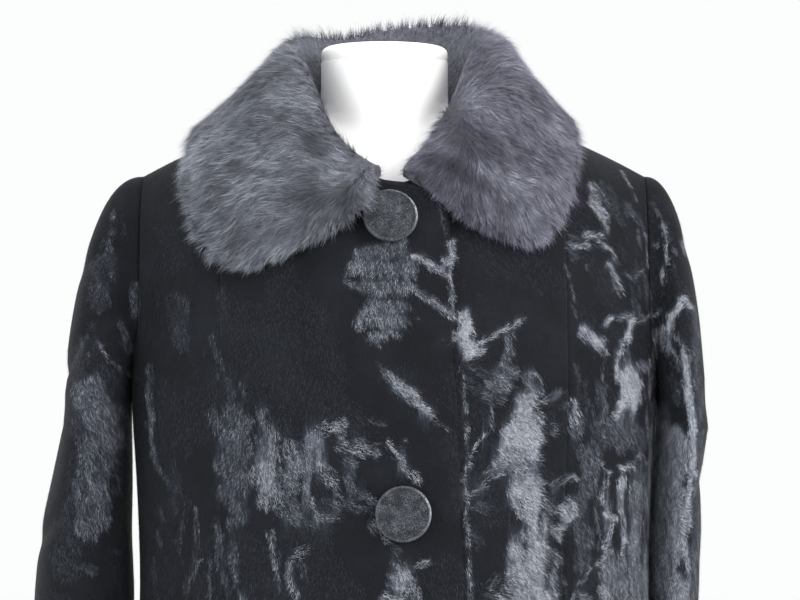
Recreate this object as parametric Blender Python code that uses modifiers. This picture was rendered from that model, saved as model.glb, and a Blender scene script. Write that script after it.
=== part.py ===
"""Faux fur coat with a plush collar, buttoned up on a limbless dress form.

Metres, +Z up, origin on the floor under the middle of the base, front to -Y.
The wearer's right is -X.  The coat's cloth is one smooth surface, cut into panels:
below the chest it is a ring that flares to the hem, above it the front and the back
arch over to meet in the shoulder seams.
"""
import math

import bmesh
import bpy
import numpy as np
from mathutils import Matrix, Vector

# ---------------------------------------------------------------- cloth and seams
WALL = 0.004            # backing and short pile together
GAP = 0.0003            # between pieces that touch
SEAM_SHARE = 0.6 * GAP  # what each of two panels draws back from their seam
OVERLAP_LIFT = WALL + 0.0009    # how far the outer front rides above the inner one

# ---------------------------------------------------------------- coat body
HEM_Z = 0.450
CHEST_Z = 1.135         # underarm level
SHOULDER_Z = 1.412      # shoulder line where it would meet over the centre
SHOULDER_FALL = 0.076
SHOULDER_TIP = 0.2235   # half the breadth between the armhole seams
SHOULDER_POWER = 1.6
RING_POWER = 2.4        # how square the body's ring is at its sides
BODY_LEVELS = (         # (height, half_width, front_depth, back_depth)
    (0.450, 0.276, 0.196, 0.200),
    (0.600, 0.256, 0.178, 0.180),
    (0.780, 0.238, 0.158, 0.157),
    (0.980, 0.226, 0.142, 0.139),
    (1.135, 0.234, 0.135, 0.133),
)
HEM_FLUTE = 0.009       # depth of the soft flutes at the hem
FLUTES = ((8, 0.4, 0.60), (5, -1.1, 0.40))      # (count, turn, share)

NECK_HALF = 0.076
NECK_Z = SHOULDER_Z - SHOULDER_FALL * (NECK_HALF / SHOULDER_TIP) ** SHOULDER_POWER
NECK_DROP = 0.074       # front pit below the side neck point
NECK_RISE = 0.002       # back neck above it
NECK_SQUARE = 1.7       # shape of the neckline's curve
NECK_SOFT = 0.75
NAPE_RISE = 0.056       # how much higher the back arches behind the neck
UNDERARM_EASE = math.radians(22)        # arch angle over which the armhole turns its corner

PRINCESS_X = 0.147      # side-front seams, at the chest
UNDER_EDGE_X = 0.050    # hidden edge of the left front, past the centre
EDGE_X_TOP = 0.044      # visible edge of the right front at the neck
EDGE_LEAN = 0.040       # metres sideways for each metre down
EDGE_X_MAX = 0.062
LAP_TOP_FALL = 0.10     # slope of the lap's top edge past the centre
LAP_RISE_X = -0.080     # where the right front starts to rise over the left one
LAP_RISE_RUN = 0.024    # and the way it takes to do so

BODY_ROWS = 10          # hem to chest
ARCH_ROWS = 11          # chest to shoulder, crowded at both ends

# ---------------------------------------------------------------- sleeves
CAP_ROWS = 6
CAP_POWER = 0.84         # squareness of the sleeve head
INWARD_PULL = 0.8        # how far a sleeve's inner wall is drawn towards its middle
SLEEVES = {             # (height, centre_x, centre_y, half_width, half_depth)
    "right": (
        (1.115, 0.2645, 0.000, 0.0295, 0.075),
        (1.070, 0.2690, 0.000, 0.0345, 0.072),
        (1.019, 0.2745, -0.002, 0.0395, 0.069),
        (0.956, 0.2765, -0.004, 0.0440, 0.066),
        (0.860, 0.2830, -0.006, 0.0440, 0.064),
        (0.765, 0.2920, -0.008, 0.0450, 0.062),
    ),
    "left": (
        (1.115, 0.2570, 0.005, 0.0215, 0.079),
        (1.070, 0.2535, 0.018, 0.0215, 0.079),
        (1.019, 0.2525, 0.034, 0.0250, 0.079),
        (0.956, 0.2510, 0.044, 0.0260, 0.078),
        (0.860, 0.2590, 0.048, 0.0280, 0.073),
        (0.765, 0.2690, 0.050, 0.0320, 0.067),
    ),
}
SLEEVE_ROWS = 9         # bicep to cuff

# ---------------------------------------------------------------- collar
FUR = 0.022             # depth of the long pile
COLLAR_CLEAR = 0.0022   # underside above the coat
BASE_CLEAR = 0.0016      # foot of the stand above the neckline
NECK_CLEAR = 0.0015      # pile from the form's neck
COLLAR_STATIONS = 42
COLLAR_END_TURN = 16.0  # degrees over which the ends thin out
COLLAR_END_SHARE = 0.38     # of the full depth, at the very end
ROLL_SHARES = (0.10, 0.20, 0.32, 0.46, 0.60, 0.73, 0.85, 0.94, 1.0)  # stand to outer edge
STAND_AWAY = 0.28       # how far the stand leans off the neck
LEAN_POWER = 1.5        # how soon the pile turns from the stand's way to the coat's
STAND_POWER = 1.4       # how soon the roll comes down
EDGE_REACH = 0.22       # rounding of the outer edge, as shares of the pile
BROW_SINK = 0.30
CHIN_LIFT = 0.18
FOOT = ((0.70, 0.0), (1.0, 0.35))       # (share of the inside pile, share of the stand)
ROLL = ((0.95, 0.35), (0.55, 0.80))     # (share of the inside pile, share of the outer)
STAND_BACK = 0.0008     # the stand's own seam line, behind the neckline
STAND_FOOT = 0.001
LAP_FADE = 0.014        # where the collar leaves the lap again
COVER_FADE = 0.020
KNOB_CLEAR = 0.0045     # the collar above the top button
KNOB_REACH = 0.022
KNOB_FADE = 0.018
COLLAR = (              # (turn, edge_x, edge_arch, stand, inside, pile)
    # turn: degrees round the neck from the wearer's right of the centre front;
    # edge_x and edge_arch: where the outer edge lies on the coat; stand: height of
    # the roll's skin; inside: pile on the neck's side; pile: share of FUR
    (8, -0.017, 36, 0.0040, 0.006, 0.58),
    (26, -0.066, 31, 0.003, 0.004, 0.75),
    (42, -0.121, 27, 0.006, 0.005, 0.92),
    (58, -0.158, 33, 0.019, 0.009, 1.00),
    (74, -0.178, 53, 0.036, 0.009, 1.00),
    (90, -0.176, 82, 0.045, 0.008, 1.00),
    (112, -0.160, 108, 0.049, 0.009, 1.00),
    (146, -0.080, 124, 0.051, 0.012, 1.00),
    (180, 0.000, 139, 0.064, 0.012, 1.00),
    (214, 0.074, 124, 0.064, 0.014, 1.00),
    (248, 0.140, 108, 0.056, 0.020, 1.00),
    (270, 0.156, 82, 0.051, 0.026, 1.00),
    (288, 0.153, 54, 0.043, 0.030, 1.00),
    (304, 0.137, 38, 0.031, 0.030, 1.00),
    (320, 0.112, 32, 0.018, 0.028, 1.00),
    (336, 0.079, 34, 0.008, 0.022, 0.90),
    (354, 0.053, 36, 0.0035, 0.010, 0.60),
)

# ---------------------------------------------------------------- buttons
BUTTON_RADIUS = 0.0232
BUTTON_DEPTH = 0.0085
BUTTON_RIM = 0.0016     # the raised roll round the cover
SHANK_RADIUS = 0.004
SHANK_HEIGHT = 0.0015
BUTTON_FACE = (         # (share of the radius, rims inward, share of the depth)
    (0.95, 0.0, 0.42), (1.0, 0.0, 0.62), (1.0, 0.0, 0.82), (1.0, 0.35, 0.95),
    (1.0, 1.0, 1.00), (1.0, 1.7, 0.95), (1.0, 2.1, 0.87), (0.5, 0.0, 0.90), (0.0, 0.0, 0.92),
)
BACK_SHARE = 0.80       # the flat of the back
TILT_LIFT = 0.25        # how far a turned button comes off its seat
BUTTON_STEPS = 28
BUTTONS = (             # (x, height, turn of the face in degrees)
    (-0.0033, 1.2925, 7.0),
    (0.0083, 1.049, 0.0),
    (0.0083, 0.803, 0.0),
)

# ---------------------------------------------------------------- dress form
NECK_AXIS = (-0.0085, 0.004)
NECK_RADIUS = 0.0568
NECK_TOP = 1.4375
CAP_HEIGHT = 0.0140
FORM_POINTS = 28
FORM_CLEAR = 0.0004     # under the coat's shoulder
WALL_SLOPE = 1.12       # the coat's wall measured upright, as a share of WALL
FORM_DIP = 0.007        # how much lower the form lies near the neck
FORM_DIP_X = 0.125
FORM_DIP_RUN = 0.05
NECK_FILLET = 11        # power of the blend from shoulder to neck; higher is tighter
NECK_LOW = CHEST_Z + 0.1    # below this the neck has no part in the torso
HIP_SHRINK = 0.94       # the turned-in lower edge
FORM_LEVELS = (         # (height, half_width, front_depth, back_depth)
    (0.800, 0.150, 0.102, 0.106),
    (0.860, 0.163, 0.112, 0.118),
    (0.950, 0.157, 0.106, 0.108),
    (1.045, 0.132, 0.096, 0.090),
    (1.150, 0.158, 0.119, 0.100),
    (1.260, 0.176, 0.112, 0.102),
    (1.400, 0.190, 0.108, 0.100),
)
FORM_HEIGHTS = (0.800, 0.812, 0.860, 0.910, 0.960, 1.005, 1.045, 1.090, 1.135, 1.180,
                1.225, 1.265, 1.295, 1.315, 1.332, 1.347, 1.360, 1.372, 1.384, 1.396,
                1.412, NECK_TOP)
POLE_RADIUS = 0.0160
BASE_RADIUS = 0.175
BASE_HEIGHT = 0.008
BASE_BEVEL = 0.002
CAP_INSET = 0.0004      # the cap inside the neck's edge
CAP_PROFILE = (         # (metres inward from the cap's edge, share of its height)
    (0.0, 0.0), (0.0, 0.5), (0.0018, 0.78), (0.0065, 0.95), (0.0170, 1.0),
)


def spline(table, column, at):
    """A smooth curve through one column of a table, read at the heights or turns `at`."""
    rows = np.array(table)
    knots, values = rows[:, 0], rows[:, column]
    if knots[0] > knots[-1]:
        knots, values = knots[::-1], values[::-1]
    slopes = np.gradient(values, knots)
    at = np.clip(at, knots[0], knots[-1])
    left = np.clip(np.searchsorted(knots, at) - 1, 0, len(knots) - 2)
    span = knots[left + 1] - knots[left]
    t = (at - knots[left]) / span
    ends = (2 * t**3 - 3 * t**2 + 1) * values[left] + (3 * t**2 - 2 * t**3) * values[left + 1]
    turns = (t**3 - 2 * t**2 + t) * slopes[left] + (t**3 - t**2) * slopes[left + 1]
    return ends + turns * span


def ease(t):
    """0 to 1 with soft ends."""
    t = np.clip(t, 0.0, 1.0)
    return t * t * (3 - 2 * t)


def unit(vectors):
    """Each vector at length 1."""
    return vectors / np.maximum(np.linalg.norm(vectors, axis=-1, keepdims=True), 1e-9)


# ---------------------------------------------------------------- the coat's surface
def ring_x(turn):
    """Share of the half-width at a turn from the centre front (0) to the back (pi)."""
    return np.sign(np.sin(turn)) * np.abs(np.sin(turn)) ** (2 / RING_POWER)


def ring_turn(share):
    """The turn whose ring_x is `share`, on the front."""
    return np.sign(share) * np.arcsin(np.abs(share) ** (RING_POWER / 2))


def shoulder_z(x, turn):
    """Height of the arch over x; behind the neck the back arches higher."""
    height = SHOULDER_Z - SHOULDER_FALL * (np.abs(x) / SHOULDER_TIP) ** SHOULDER_POWER
    near = np.clip(1 - (x / NECK_HALF) ** 2, 0, 1) ** 2
    return height + np.where(np.cos(turn) < 0, NAPE_RISE, 0.0) * near


def coat_point(turn, level):
    """A point of the coat's outer face.

    turn: signed angle round the body, 0 at the centre front, + to the wearer's left.
    level: metres below the chest if negative, or the arch's angle if positive.
    """
    turn, level = np.broadcast_arrays(np.asarray(turn, float), np.asarray(level, float))
    height = CHEST_Z + np.minimum(level, 0.0)
    arch = np.maximum(level, 0.0)
    front = np.cos(turn) > 0
    wide = spline(BODY_LEVELS, 1, height)
    deep = np.where(front, spline(BODY_LEVELS, 2, height), spline(BODY_LEVELS, 3, height))
    fall = ease((CHEST_Z - height) / (CHEST_Z - HEM_Z)) ** 1.5
    flute = sum(share * np.cos(count * turn + shift) for count, shift, share in FLUTES)
    push = HEM_FLUTE * fall * flute
    x = wide * ring_x(turn) + push * np.sin(turn)
    y = -deep * np.cos(turn) * np.cos(arch) - push * np.cos(turn)
    z = height + (shoulder_z(x, turn) - CHEST_Z) * np.sin(arch)
    return np.stack([x, y, z], axis=-1)


def coat_normal(turn, level, step=1e-3):
    """Outward normal of coat_point, from small steps along both parameters."""
    across = coat_point(turn + step, level) - coat_point(turn - step, level)
    up = coat_point(turn, level + step) - coat_point(turn, level - step)
    return unit(np.cross(across, up))


def arch_at(turn, height):
    """The arch angle at which the surface over `turn` reaches `height`."""
    x = spline(BODY_LEVELS, 1, CHEST_Z) * ring_x(turn)
    share = (height - CHEST_Z) / (shoulder_z(x, turn) - CHEST_Z)
    return np.arcsin(np.clip(share, 0, 1))


CHEST_HALF = BODY_LEVELS[-1][1]
SIDE = math.pi / 2
ARM_TURN = float(ring_turn(SHOULDER_TIP / CHEST_HALF))
PRINCESS_TURN = float(ring_turn(PRINCESS_X / CHEST_HALF))
NECK_TURN = float(ring_turn(NECK_HALF / CHEST_HALF))
EVEN = np.linspace(0, 1, ARCH_ROWS + 1)
ARCH = SIDE * (0.5 * EVEN + 0.25 * (1 - np.cos(math.pi * EVEN)))


def side_turn(arch):
    """Turn of the armhole's edge: the side seam at the chest, then the shoulder's tip."""
    return ARM_TURN + (SIDE - ARM_TURN) * (1 - ease(arch / UNDERARM_EASE))


def lift_of_lap(x):
    """How far the right front rides up over the left one."""
    return OVERLAP_LIFT * ease((x - LAP_RISE_X) / LAP_RISE_RUN)


# ---------------------------------------------------------------- meshes
def closed_shell(outer, inner, wrap=False):
    """Closed mesh between two grids of points; `wrap` joins the last column to the first."""
    rows, columns = outer.shape[:2]
    points = np.concatenate([outer.reshape(-1, 3), inner.reshape(-1, 3)])
    half = rows * columns
    steps = columns if wrap else columns - 1
    faces = []
    for row in range(rows - 1):
        for column in range(steps):
            a = row * columns + column
            b = row * columns + (column + 1) % columns
            quad = (a, b, b + columns, a + columns)
            faces.append(quad)
            faces.append(tuple(half + corner for corner in reversed(quad)))
    for row, flip in ((0, False), (rows - 1, True)):
        for column in range(steps):
            a = row * columns + column
            b = row * columns + (column + 1) % columns
            rim = (a, a + half, b + half, b)
            faces.append(tuple(reversed(rim)) if flip else rim)
    if not wrap:
        for column, flip in ((0, True), (columns - 1, False)):
            for row in range(rows - 1):
                a = row * columns + column
                b = a + columns
                rim = (a, a + half, b + half, b)
                faces.append(tuple(reversed(rim)) if flip else rim)
    return points, faces


def add_object(name, points, faces, material, collection):
    """One mesh object from points and faces, all faces turned outwards."""
    mesh = bpy.data.meshes.new(name)
    mesh.from_pydata([tuple(p) for p in points], [], faces)
    work = bmesh.new()
    work.from_mesh(mesh)
    bmesh.ops.recalc_face_normals(work, faces=work.faces)
    work.to_mesh(mesh)
    work.free()
    mesh.shade_smooth()
    mesh.set_sharp_from_angle(angle=math.radians(40))
    mesh.materials.append(material)
    thing = bpy.data.objects.new(name, mesh)
    collection.objects.link(thing)
    return thing


def seam_gaps(grid, first):
    """Draw a panel's sides and top back from its neighbours; `first`: the first side too."""
    grid = grid.copy()
    if first:
        grid[:, 0] += unit(grid[:, 1] - grid[:, 0]) * SEAM_SHARE
    grid[:, -1] += unit(grid[:, -2] - grid[:, -1]) * SEAM_SHARE
    grid[-1] += unit(grid[-2] - grid[-1]) * SEAM_SHARE
    return grid


def panel_grid(turns, levels, lift=None, first=True):
    """Outer and inner points of a panel from its grid of turns and levels."""
    normal = coat_normal(turns, levels)
    outer = coat_point(turns, levels)
    if lift is not None:
        outer = outer + normal * lift(outer[..., 0])[..., None]
    outer = seam_gaps(outer, first)
    return outer, outer - normal * WALL


def panel_levels(top_arch):
    """Rows from the hem to each column's own top."""
    body = np.linspace(HEM_Z - CHEST_Z, 0, BODY_ROWS + 1)[:-1]
    low = np.repeat(body[:, None], len(top_arch), axis=1)
    high = (ARCH / SIDE)[:, None] * top_arch[None, :]
    return np.concatenate([low, high])


def neckline_z(x, back=False):
    """Height of the neckline over x, inside the side neck points."""
    bow = np.clip(1 - np.abs(x / NECK_HALF) ** NECK_SQUARE, 0, 1) ** NECK_SOFT
    return NECK_Z + NECK_RISE * bow if back else NECK_Z - NECK_DROP * bow


def front_columns():
    """Columns of a front: shares of the lap (-1 to 0), then turns to the princess seam."""
    lap = -np.linspace(1, 0, 5)[:-1]
    neck = NECK_TURN * np.sin(np.linspace(0, SIDE, 6))
    rest = np.linspace(NECK_TURN, PRINCESS_TURN, 4)[1:]
    return np.concatenate([lap, neck, rest])


def front_top(turns):
    """Arch angle of a front panel's top edge: lap, neckline, then shoulder seam."""
    x = CHEST_HALF * ring_x(turns)
    lap = NECK_Z - NECK_DROP - LAP_TOP_FALL * np.abs(x)
    height = np.where(x < 0, lap, neckline_z(x))
    return np.where(turns >= NECK_TURN - 1e-6, SIDE, arch_at(np.abs(turns), height))


def front_panel(name, side, material, collection):
    """A front from its lapped edge to the princess seam; side is +1 for the left."""
    outside = side < 0
    columns = front_columns()
    top = front_top(columns)
    turns = np.repeat(columns[None, :], BODY_ROWS + ARCH_ROWS + 1, axis=0)
    levels = panel_levels(top)
    height = coat_point(turns, levels)[..., 2]
    lean = np.clip(EDGE_X_TOP + EDGE_LEAN * (NECK_Z - NECK_DROP - height), 0, EDGE_X_MAX)
    reach = lean if outside else np.full_like(lean, UNDER_EDGE_X)
    edge = -ring_turn(reach / spline(BODY_LEVELS, 1, np.minimum(height, CHEST_Z)))
    turns = np.where(columns < 0, -columns[None, :] * edge, turns)
    top = np.where(columns < 0, front_top(turns[-1]), top)
    levels = panel_levels(top)
    lift = lift_of_lap if outside else None
    outer, inner = panel_grid(side * turns, levels, lift, first=False)
    points, faces = closed_shell(outer, inner)
    return add_object(name, points, faces, material, collection)


def side_columns(turns_low, arch):
    """Spread columns between a seam and the armhole's edge on each arch row."""
    share = (turns_low - turns_low[0]) / (turns_low[-1] - turns_low[0])
    body = np.repeat(turns_low[None, :], BODY_ROWS, axis=0)
    high = turns_low[0] + share[None, :] * (side_turn(arch)[:, None] - turns_low[0])
    return np.concatenate([body, high])


def side_front(name, side, material, collection):
    """A side front from the princess seam to the side seam and the armhole."""
    turns = side_columns(np.linspace(PRINCESS_TURN, SIDE, 8), ARCH)
    levels = panel_levels(np.full(turns.shape[1], SIDE))
    outer, inner = panel_grid(side * turns, levels)
    points, faces = closed_shell(outer, inner)
    return add_object(name, points, faces, material, collection)


def back_panel(name, material, collection):
    """The back in one piece, from side seam to side seam."""
    outer_turns = side_columns(np.linspace(PRINCESS_TURN, SIDE, 8), ARCH)[:, ::-1]
    middle = np.linspace(NECK_TURN, PRINCESS_TURN, 4)[-2:0:-1]
    nape = NECK_TURN * np.cos(np.linspace(0, SIDE, 6))
    inner_turns = np.repeat(np.concatenate([middle, nape])[None, :], len(outer_turns), axis=0)
    half = np.concatenate([outer_turns, inner_turns], axis=1)
    x = CHEST_HALF * ring_x(half[-1])
    at_neck = x < NECK_HALF - 1e-6
    top = np.where(at_neck, arch_at(math.pi - half[-1], neckline_z(x, back=True)), SIDE)
    turns = np.concatenate([math.pi - half, (half - math.pi)[:, -2::-1]], axis=1)
    top = np.concatenate([top, top[-2::-1]])
    outer, inner = panel_grid(turns, panel_levels(top))
    points, faces = closed_shell(outer, inner)
    return add_object(name, points, faces, material, collection)


# ---------------------------------------------------------------- sleeves
def armhole_ring(side):
    """The armhole's edge: from the shoulder down the front and up the back."""
    arch = ARCH[::-1]
    front = coat_point(side * side_turn(arch), arch)
    back = coat_point(side * (math.pi - side_turn(arch)), arch)[::-1]
    ring = np.concatenate([front, back[1:-1]])
    ring[:, 0] += side * GAP
    return ring


def sleeve_ring(side, rows, height, angles):
    """A level ring of the hanging sleeve."""
    centre_x, centre_y, wide, deep = (spline(rows, column, height) for column in range(1, 5))
    x = side * (centre_x + wide * np.cos(angles))
    y = centre_y - deep * np.sin(angles)
    return np.stack([x, y, np.full_like(x, height)], axis=-1)


def sleeve_grid(side, rows):
    """Rings from the armhole, fanned about the underarm, then down to the cuff."""
    start = armhole_ring(side)
    count = len(start)
    angles = np.linspace(0, 2 * math.pi, count, endpoint=False)
    bicep_z = rows[0][0]
    bicep = sleeve_ring(side, rows, bicep_z, angles)
    pivot = np.array([side * (CHEST_HALF + 2 * GAP), 0.0, bicep_z])
    rings = []
    for swing in np.linspace(0, SIDE, CAP_ROWS + 1):
        rise = math.cos(swing) ** CAP_POWER if swing < SIDE - 1e-6 else 0.0
        run = math.sin(swing) ** CAP_POWER
        ring = pivot + rise * (start - pivot) + run * (bicep - pivot)
        blend = math.sin(swing) ** 2
        ring[:, 1] = (1 - blend) * start[:, 1] + blend * bicep[:, 1]
        rings.append(ring)
    for height in np.linspace(bicep_z, rows[-1][0], SLEEVE_ROWS + 1)[1:]:
        rings.append(sleeve_ring(side, rows, height, angles))
    return np.array(rings)


def grid_normals(grid, wrap):
    """Normals of a grid from its neighbours; `wrap` closes it round."""
    if wrap:
        around = np.roll(grid, -1, axis=1) - np.roll(grid, 1, axis=1)
    else:
        around = np.gradient(grid, axis=1)
    return unit(np.cross(around, np.gradient(grid, axis=0)))


def sleeve(name, side, rows, material, collection):
    """A sleeve as a tube of cloth, open at both ends."""
    outer = sleeve_grid(side, rows)
    normal = grid_normals(outer, wrap=True)
    centre = outer.mean(axis=1, keepdims=True)
    outward = np.sign(np.sum(normal * (outer - centre)))
    inner = outer - WALL * unit(outward * normal + INWARD_PULL * unit(outer - centre))
    points, faces = closed_shell(outer, inner, wrap=True)
    return add_object(name, points, faces, material, collection)


# ---------------------------------------------------------------- collar
def neckline_point(turn):
    """The coat's turn and arch angle on its neckline, and the point there."""
    x = -NECK_HALF * np.sin(turn)
    front = np.cos(turn) > 0
    height = np.where(front, neckline_z(x), neckline_z(x, back=True))
    around = ring_turn(x / CHEST_HALF)
    around = np.where(front, around, np.where(x < 0, -math.pi, math.pi) - around)
    arch = arch_at(around, height)
    return around, arch


def lap_cover(x, height):
    """Height of the lapped front and the top button over the coat's plain surface."""
    lap = lift_of_lap(x) * ease((EDGE_X_MAX + COVER_FADE - x) / KNOB_FADE)
    button_x, button_z, _ = BUTTONS[0]
    away = np.hypot(x - button_x, height - button_z)
    knob = BUTTON_DEPTH + SHANK_HEIGHT + KNOB_CLEAR
    return lap + knob * ease((BUTTON_RADIUS + KNOB_REACH - away) / KNOB_FADE)


def collar_sections():
    """Closed cross-sections of the collar, from one front end round to the other."""
    table = np.array(COLLAR)
    turns = np.linspace(table[0, 0], table[-1, 0], COLLAR_STATIONS)
    sections = []
    for turn in turns:
        edge_x, edge_arch, stand, inside, pile = (
            float(spline(COLLAR, column, turn)) for column in range(1, 6))
        end = min(turn - turns[0], turns[-1] - turn)
        round_off = math.sqrt(1 - (1 - min(end / COLLAR_END_TURN, 1.0)) ** 2)
        close = COLLAR_END_SHARE + (1 - COLLAR_END_SHARE) * round_off
        sections.append(collar_section(math.radians(turn), edge_x, math.radians(edge_arch),
                                       stand, inside * close, FUR * pile * close))
    return np.array(sections)


def collar_section(turn, edge_x, edge_arch, stand, inside, fur):
    """One hook-shaped section: up the stand, over the roll, and down to the outer edge."""
    base_turn, base_arch = neckline_point(np.array(turn))
    neck = coat_point(base_turn, base_arch)
    lap = lift_of_lap(neck[0]) * ease((EDGE_X_MAX - neck[0]) / LAP_FADE)
    neck = neck + coat_normal(base_turn, base_arch) * lap + np.array([0, 0, BASE_CLEAR])
    axis = np.array([NECK_AXIS[0], NECK_AXIS[1], neck[2]])
    away = unit(neck - axis)
    share = np.array(ROLL_SHARES)
    x = neck[0] + share * (edge_x - neck[0])
    height_up = float(base_arch if math.cos(turn) > 0 else math.pi - base_arch)
    arch = height_up + share * (edge_arch - height_up)
    side = ring_turn(x / CHEST_HALF)
    behind = arch > SIDE
    around = np.where(behind, np.where(x < 0, -1, 1) * (math.pi - np.abs(side)), side)
    level = np.where(behind, math.pi - arch, arch)
    skin = coat_point(around, level)
    normal = coat_normal(around, level)
    upright = unit(np.array([0, 0, 1.0]) + STAND_AWAY * away)
    lean = (1 - share[:, None]) ** LEAN_POWER
    normal = unit(lean * upright + (1 - lean) * normal)
    clear = COLLAR_CLEAR + lap_cover(skin[:, 0], skin[:, 2])
    under = skin + normal * (clear + stand * (1 - share) ** STAND_POWER)[:, None]
    over = under + normal * fur
    tip = unit(over[-1] - over[-2])
    brow = over[-1] + tip * fur * EDGE_REACH - normal[-1] * fur * BROW_SINK
    chin = under[-1] + tip * fur * EDGE_REACH + normal[-1] * fur * CHIN_LIFT
    top = neck + upright * (stand + clear[0])
    foot = [neck - away * inside * near + upright * (up * stand + STAND_FOOT)
            for near, up in FOOT]
    roll = [top - away * inside * near + upright * fur * up for near, up in ROLL]
    behind_seam = neck + away * STAND_BACK
    inner = [top + away * STAND_BACK - upright * STAND_FOOT,
             behind_seam + upright * 0.5 * stand,
             behind_seam + upright * 0.5 * STAND_FOOT]
    facing_neck = [clear_of_neck(point) for point in foot + roll]
    return facing_neck + list(over) + [brow, chin] + list(under[::-1]) + inner


def clear_of_neck(point):
    """The point, pushed out from the form's neck where it would touch it."""
    dx, dy = point[0] - NECK_AXIS[0], point[1] - NECK_AXIS[1]
    reach = math.hypot(dx, dy)
    least = NECK_CLEAR + form_radius(min(point[2], NECK_TOP), math.atan2(dx, -dy))
    grow = max(1.0, least / reach)
    return np.array([NECK_AXIS[0] + dx * grow, NECK_AXIS[1] + dy * grow, point[2]])


def collar(name, material, collection):
    """The collar as one solid, as deep as its pile."""
    sections = collar_sections()
    count, points = sections.shape[:2]
    faces = []
    for i in range(count - 1):
        for j in range(points):
            a, b = i * points + j, i * points + (j + 1) % points
            faces.append((a, b, b + points, a + points))
    faces.append(tuple(range(points)))
    faces.append(tuple(reversed(range((count - 1) * points, count * points))))
    return add_object(name, sections.reshape(-1, 3), faces, material, collection)


# ---------------------------------------------------------------- buttons
def turned(name, profile, steps, material, collection):
    """A solid turned about Z from a profile of (radius, height), bottom to top."""
    angles = np.linspace(0, 2 * math.pi, steps, endpoint=False)
    mesh = bpy.data.meshes.new(name)
    work = bmesh.new()
    rings = []
    for radius, height in profile:
        if radius < 1e-6:
            rings.append([work.verts.new((0, 0, height))])
            continue
        rings.append([work.verts.new((radius * math.cos(t), radius * math.sin(t), height))
                      for t in angles])
    for low, high in zip(rings, rings[1:]):
        for i in range(steps):
            j = (i + 1) % steps
            corners = [low[i % len(low)], low[j % len(low)],
                       high[j % len(high)], high[i % len(high)]]
            work.faces.new(list(dict.fromkeys(corners)))
    bmesh.ops.recalc_face_normals(work, faces=work.faces)
    work.to_mesh(mesh)
    work.free()
    mesh.shade_smooth()
    mesh.set_sharp_from_angle(angle=math.radians(40))
    mesh.materials.append(material)
    thing = bpy.data.objects.new(name, mesh)
    collection.objects.link(thing)
    return thing


def button_profile():
    """Shank, domed back, raised rim and slightly sunk face."""
    shank = ((0, 0), (SHANK_RADIUS, 0), (SHANK_RADIUS, SHANK_HEIGHT),
             (BACK_SHARE * BUTTON_RADIUS, SHANK_HEIGHT))
    face = tuple((share * BUTTON_RADIUS - rims * BUTTON_RIM, deep * BUTTON_DEPTH)
                 for share, rims, deep in BUTTON_FACE)
    return shank + face


def button(name, x, height, tilt, material, collection):
    """A covered button, seated on the lapped front."""
    turn = float(ring_turn(x / CHEST_HALF))
    level = height - CHEST_Z if height < CHEST_Z else float(arch_at(turn, height))
    normal = coat_normal(turn, level)
    seat = coat_point(turn, level) + normal * (OVERLAP_LIFT + 2 * GAP)
    thing = turned(name, button_profile(), BUTTON_STEPS, material, collection)
    forward = Vector(normal)
    forward.rotate(Matrix.Rotation(math.radians(tilt), 3, "Z"))
    seat = seat + normal * BUTTON_RADIUS * math.sin(math.radians(tilt)) * TILT_LIFT
    thing.rotation_euler = forward.to_track_quat("Z", "Y").to_euler()
    thing.location = seat
    return thing


# ---------------------------------------------------------------- dress form
def form_radius(height, angle):
    """Distance from the neck's axis to the torso's face in one direction."""
    wide, front, back = (float(spline(FORM_LEVELS, column, height)) for column in (1, 2, 3))
    ax, ay = NECK_AXIS
    dx, dy = math.sin(angle), -math.cos(angle)

    def inside(reach):
        x, y = ax + reach * dx, reach * dy + ay
        deep = front if y < 0 else back
        if height > CHEST_Z:
            top = shoulder_z(abs(x), 0.0) - WALL * WALL_SLOPE - FORM_CLEAR
            top -= FORM_DIP * float(ease((FORM_DIP_X - abs(x)) / FORM_DIP_RUN))
            share = (height - CHEST_Z) / (top - CHEST_Z)
            if share >= 1 or share < 0:
                return False
            deep *= math.sqrt(1 - share * share)
        return (abs(x) / wide) ** RING_POWER + (y / deep) ** 2 <= 1

    near, far = 0.0, 0.3        # metres either side of the face, halved until they meet
    for _ in range(26):
        middle = (near + far) / 2
        if inside(middle):
            near = middle
        else:
            far = middle
    neck = NECK_RADIUS if height > NECK_LOW else 0.0
    return (near**NECK_FILLET + neck**NECK_FILLET) ** (1 / NECK_FILLET)


def form_torso(name, material, collection):
    """Torso and neck in one smooth solid, ending flat at the hip and the neck."""
    angles = np.linspace(0, 2 * math.pi, FORM_POINTS, endpoint=False)
    rings = []
    for index, height in enumerate(FORM_HEIGHTS):
        shrink = HIP_SHRINK if index == 0 else 1.0
        rings.append([(NECK_AXIS[0] + shrink * form_radius(height, t) * math.sin(t),
                       NECK_AXIS[1] - shrink * form_radius(height, t) * math.cos(t),
                       height) for t in angles])
    points = np.array(rings).reshape(-1, 3)
    faces = []
    for i in range(len(rings) - 1):
        for j in range(FORM_POINTS):
            a, b = i * FORM_POINTS + j, i * FORM_POINTS + (j + 1) % FORM_POINTS
            faces.append((a, b, b + FORM_POINTS, a + FORM_POINTS))
    faces.append(tuple(reversed(range(FORM_POINTS))))
    faces.append(tuple(range(len(points) - FORM_POINTS, len(points))))
    return add_object(name, points, faces, material, collection)


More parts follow.
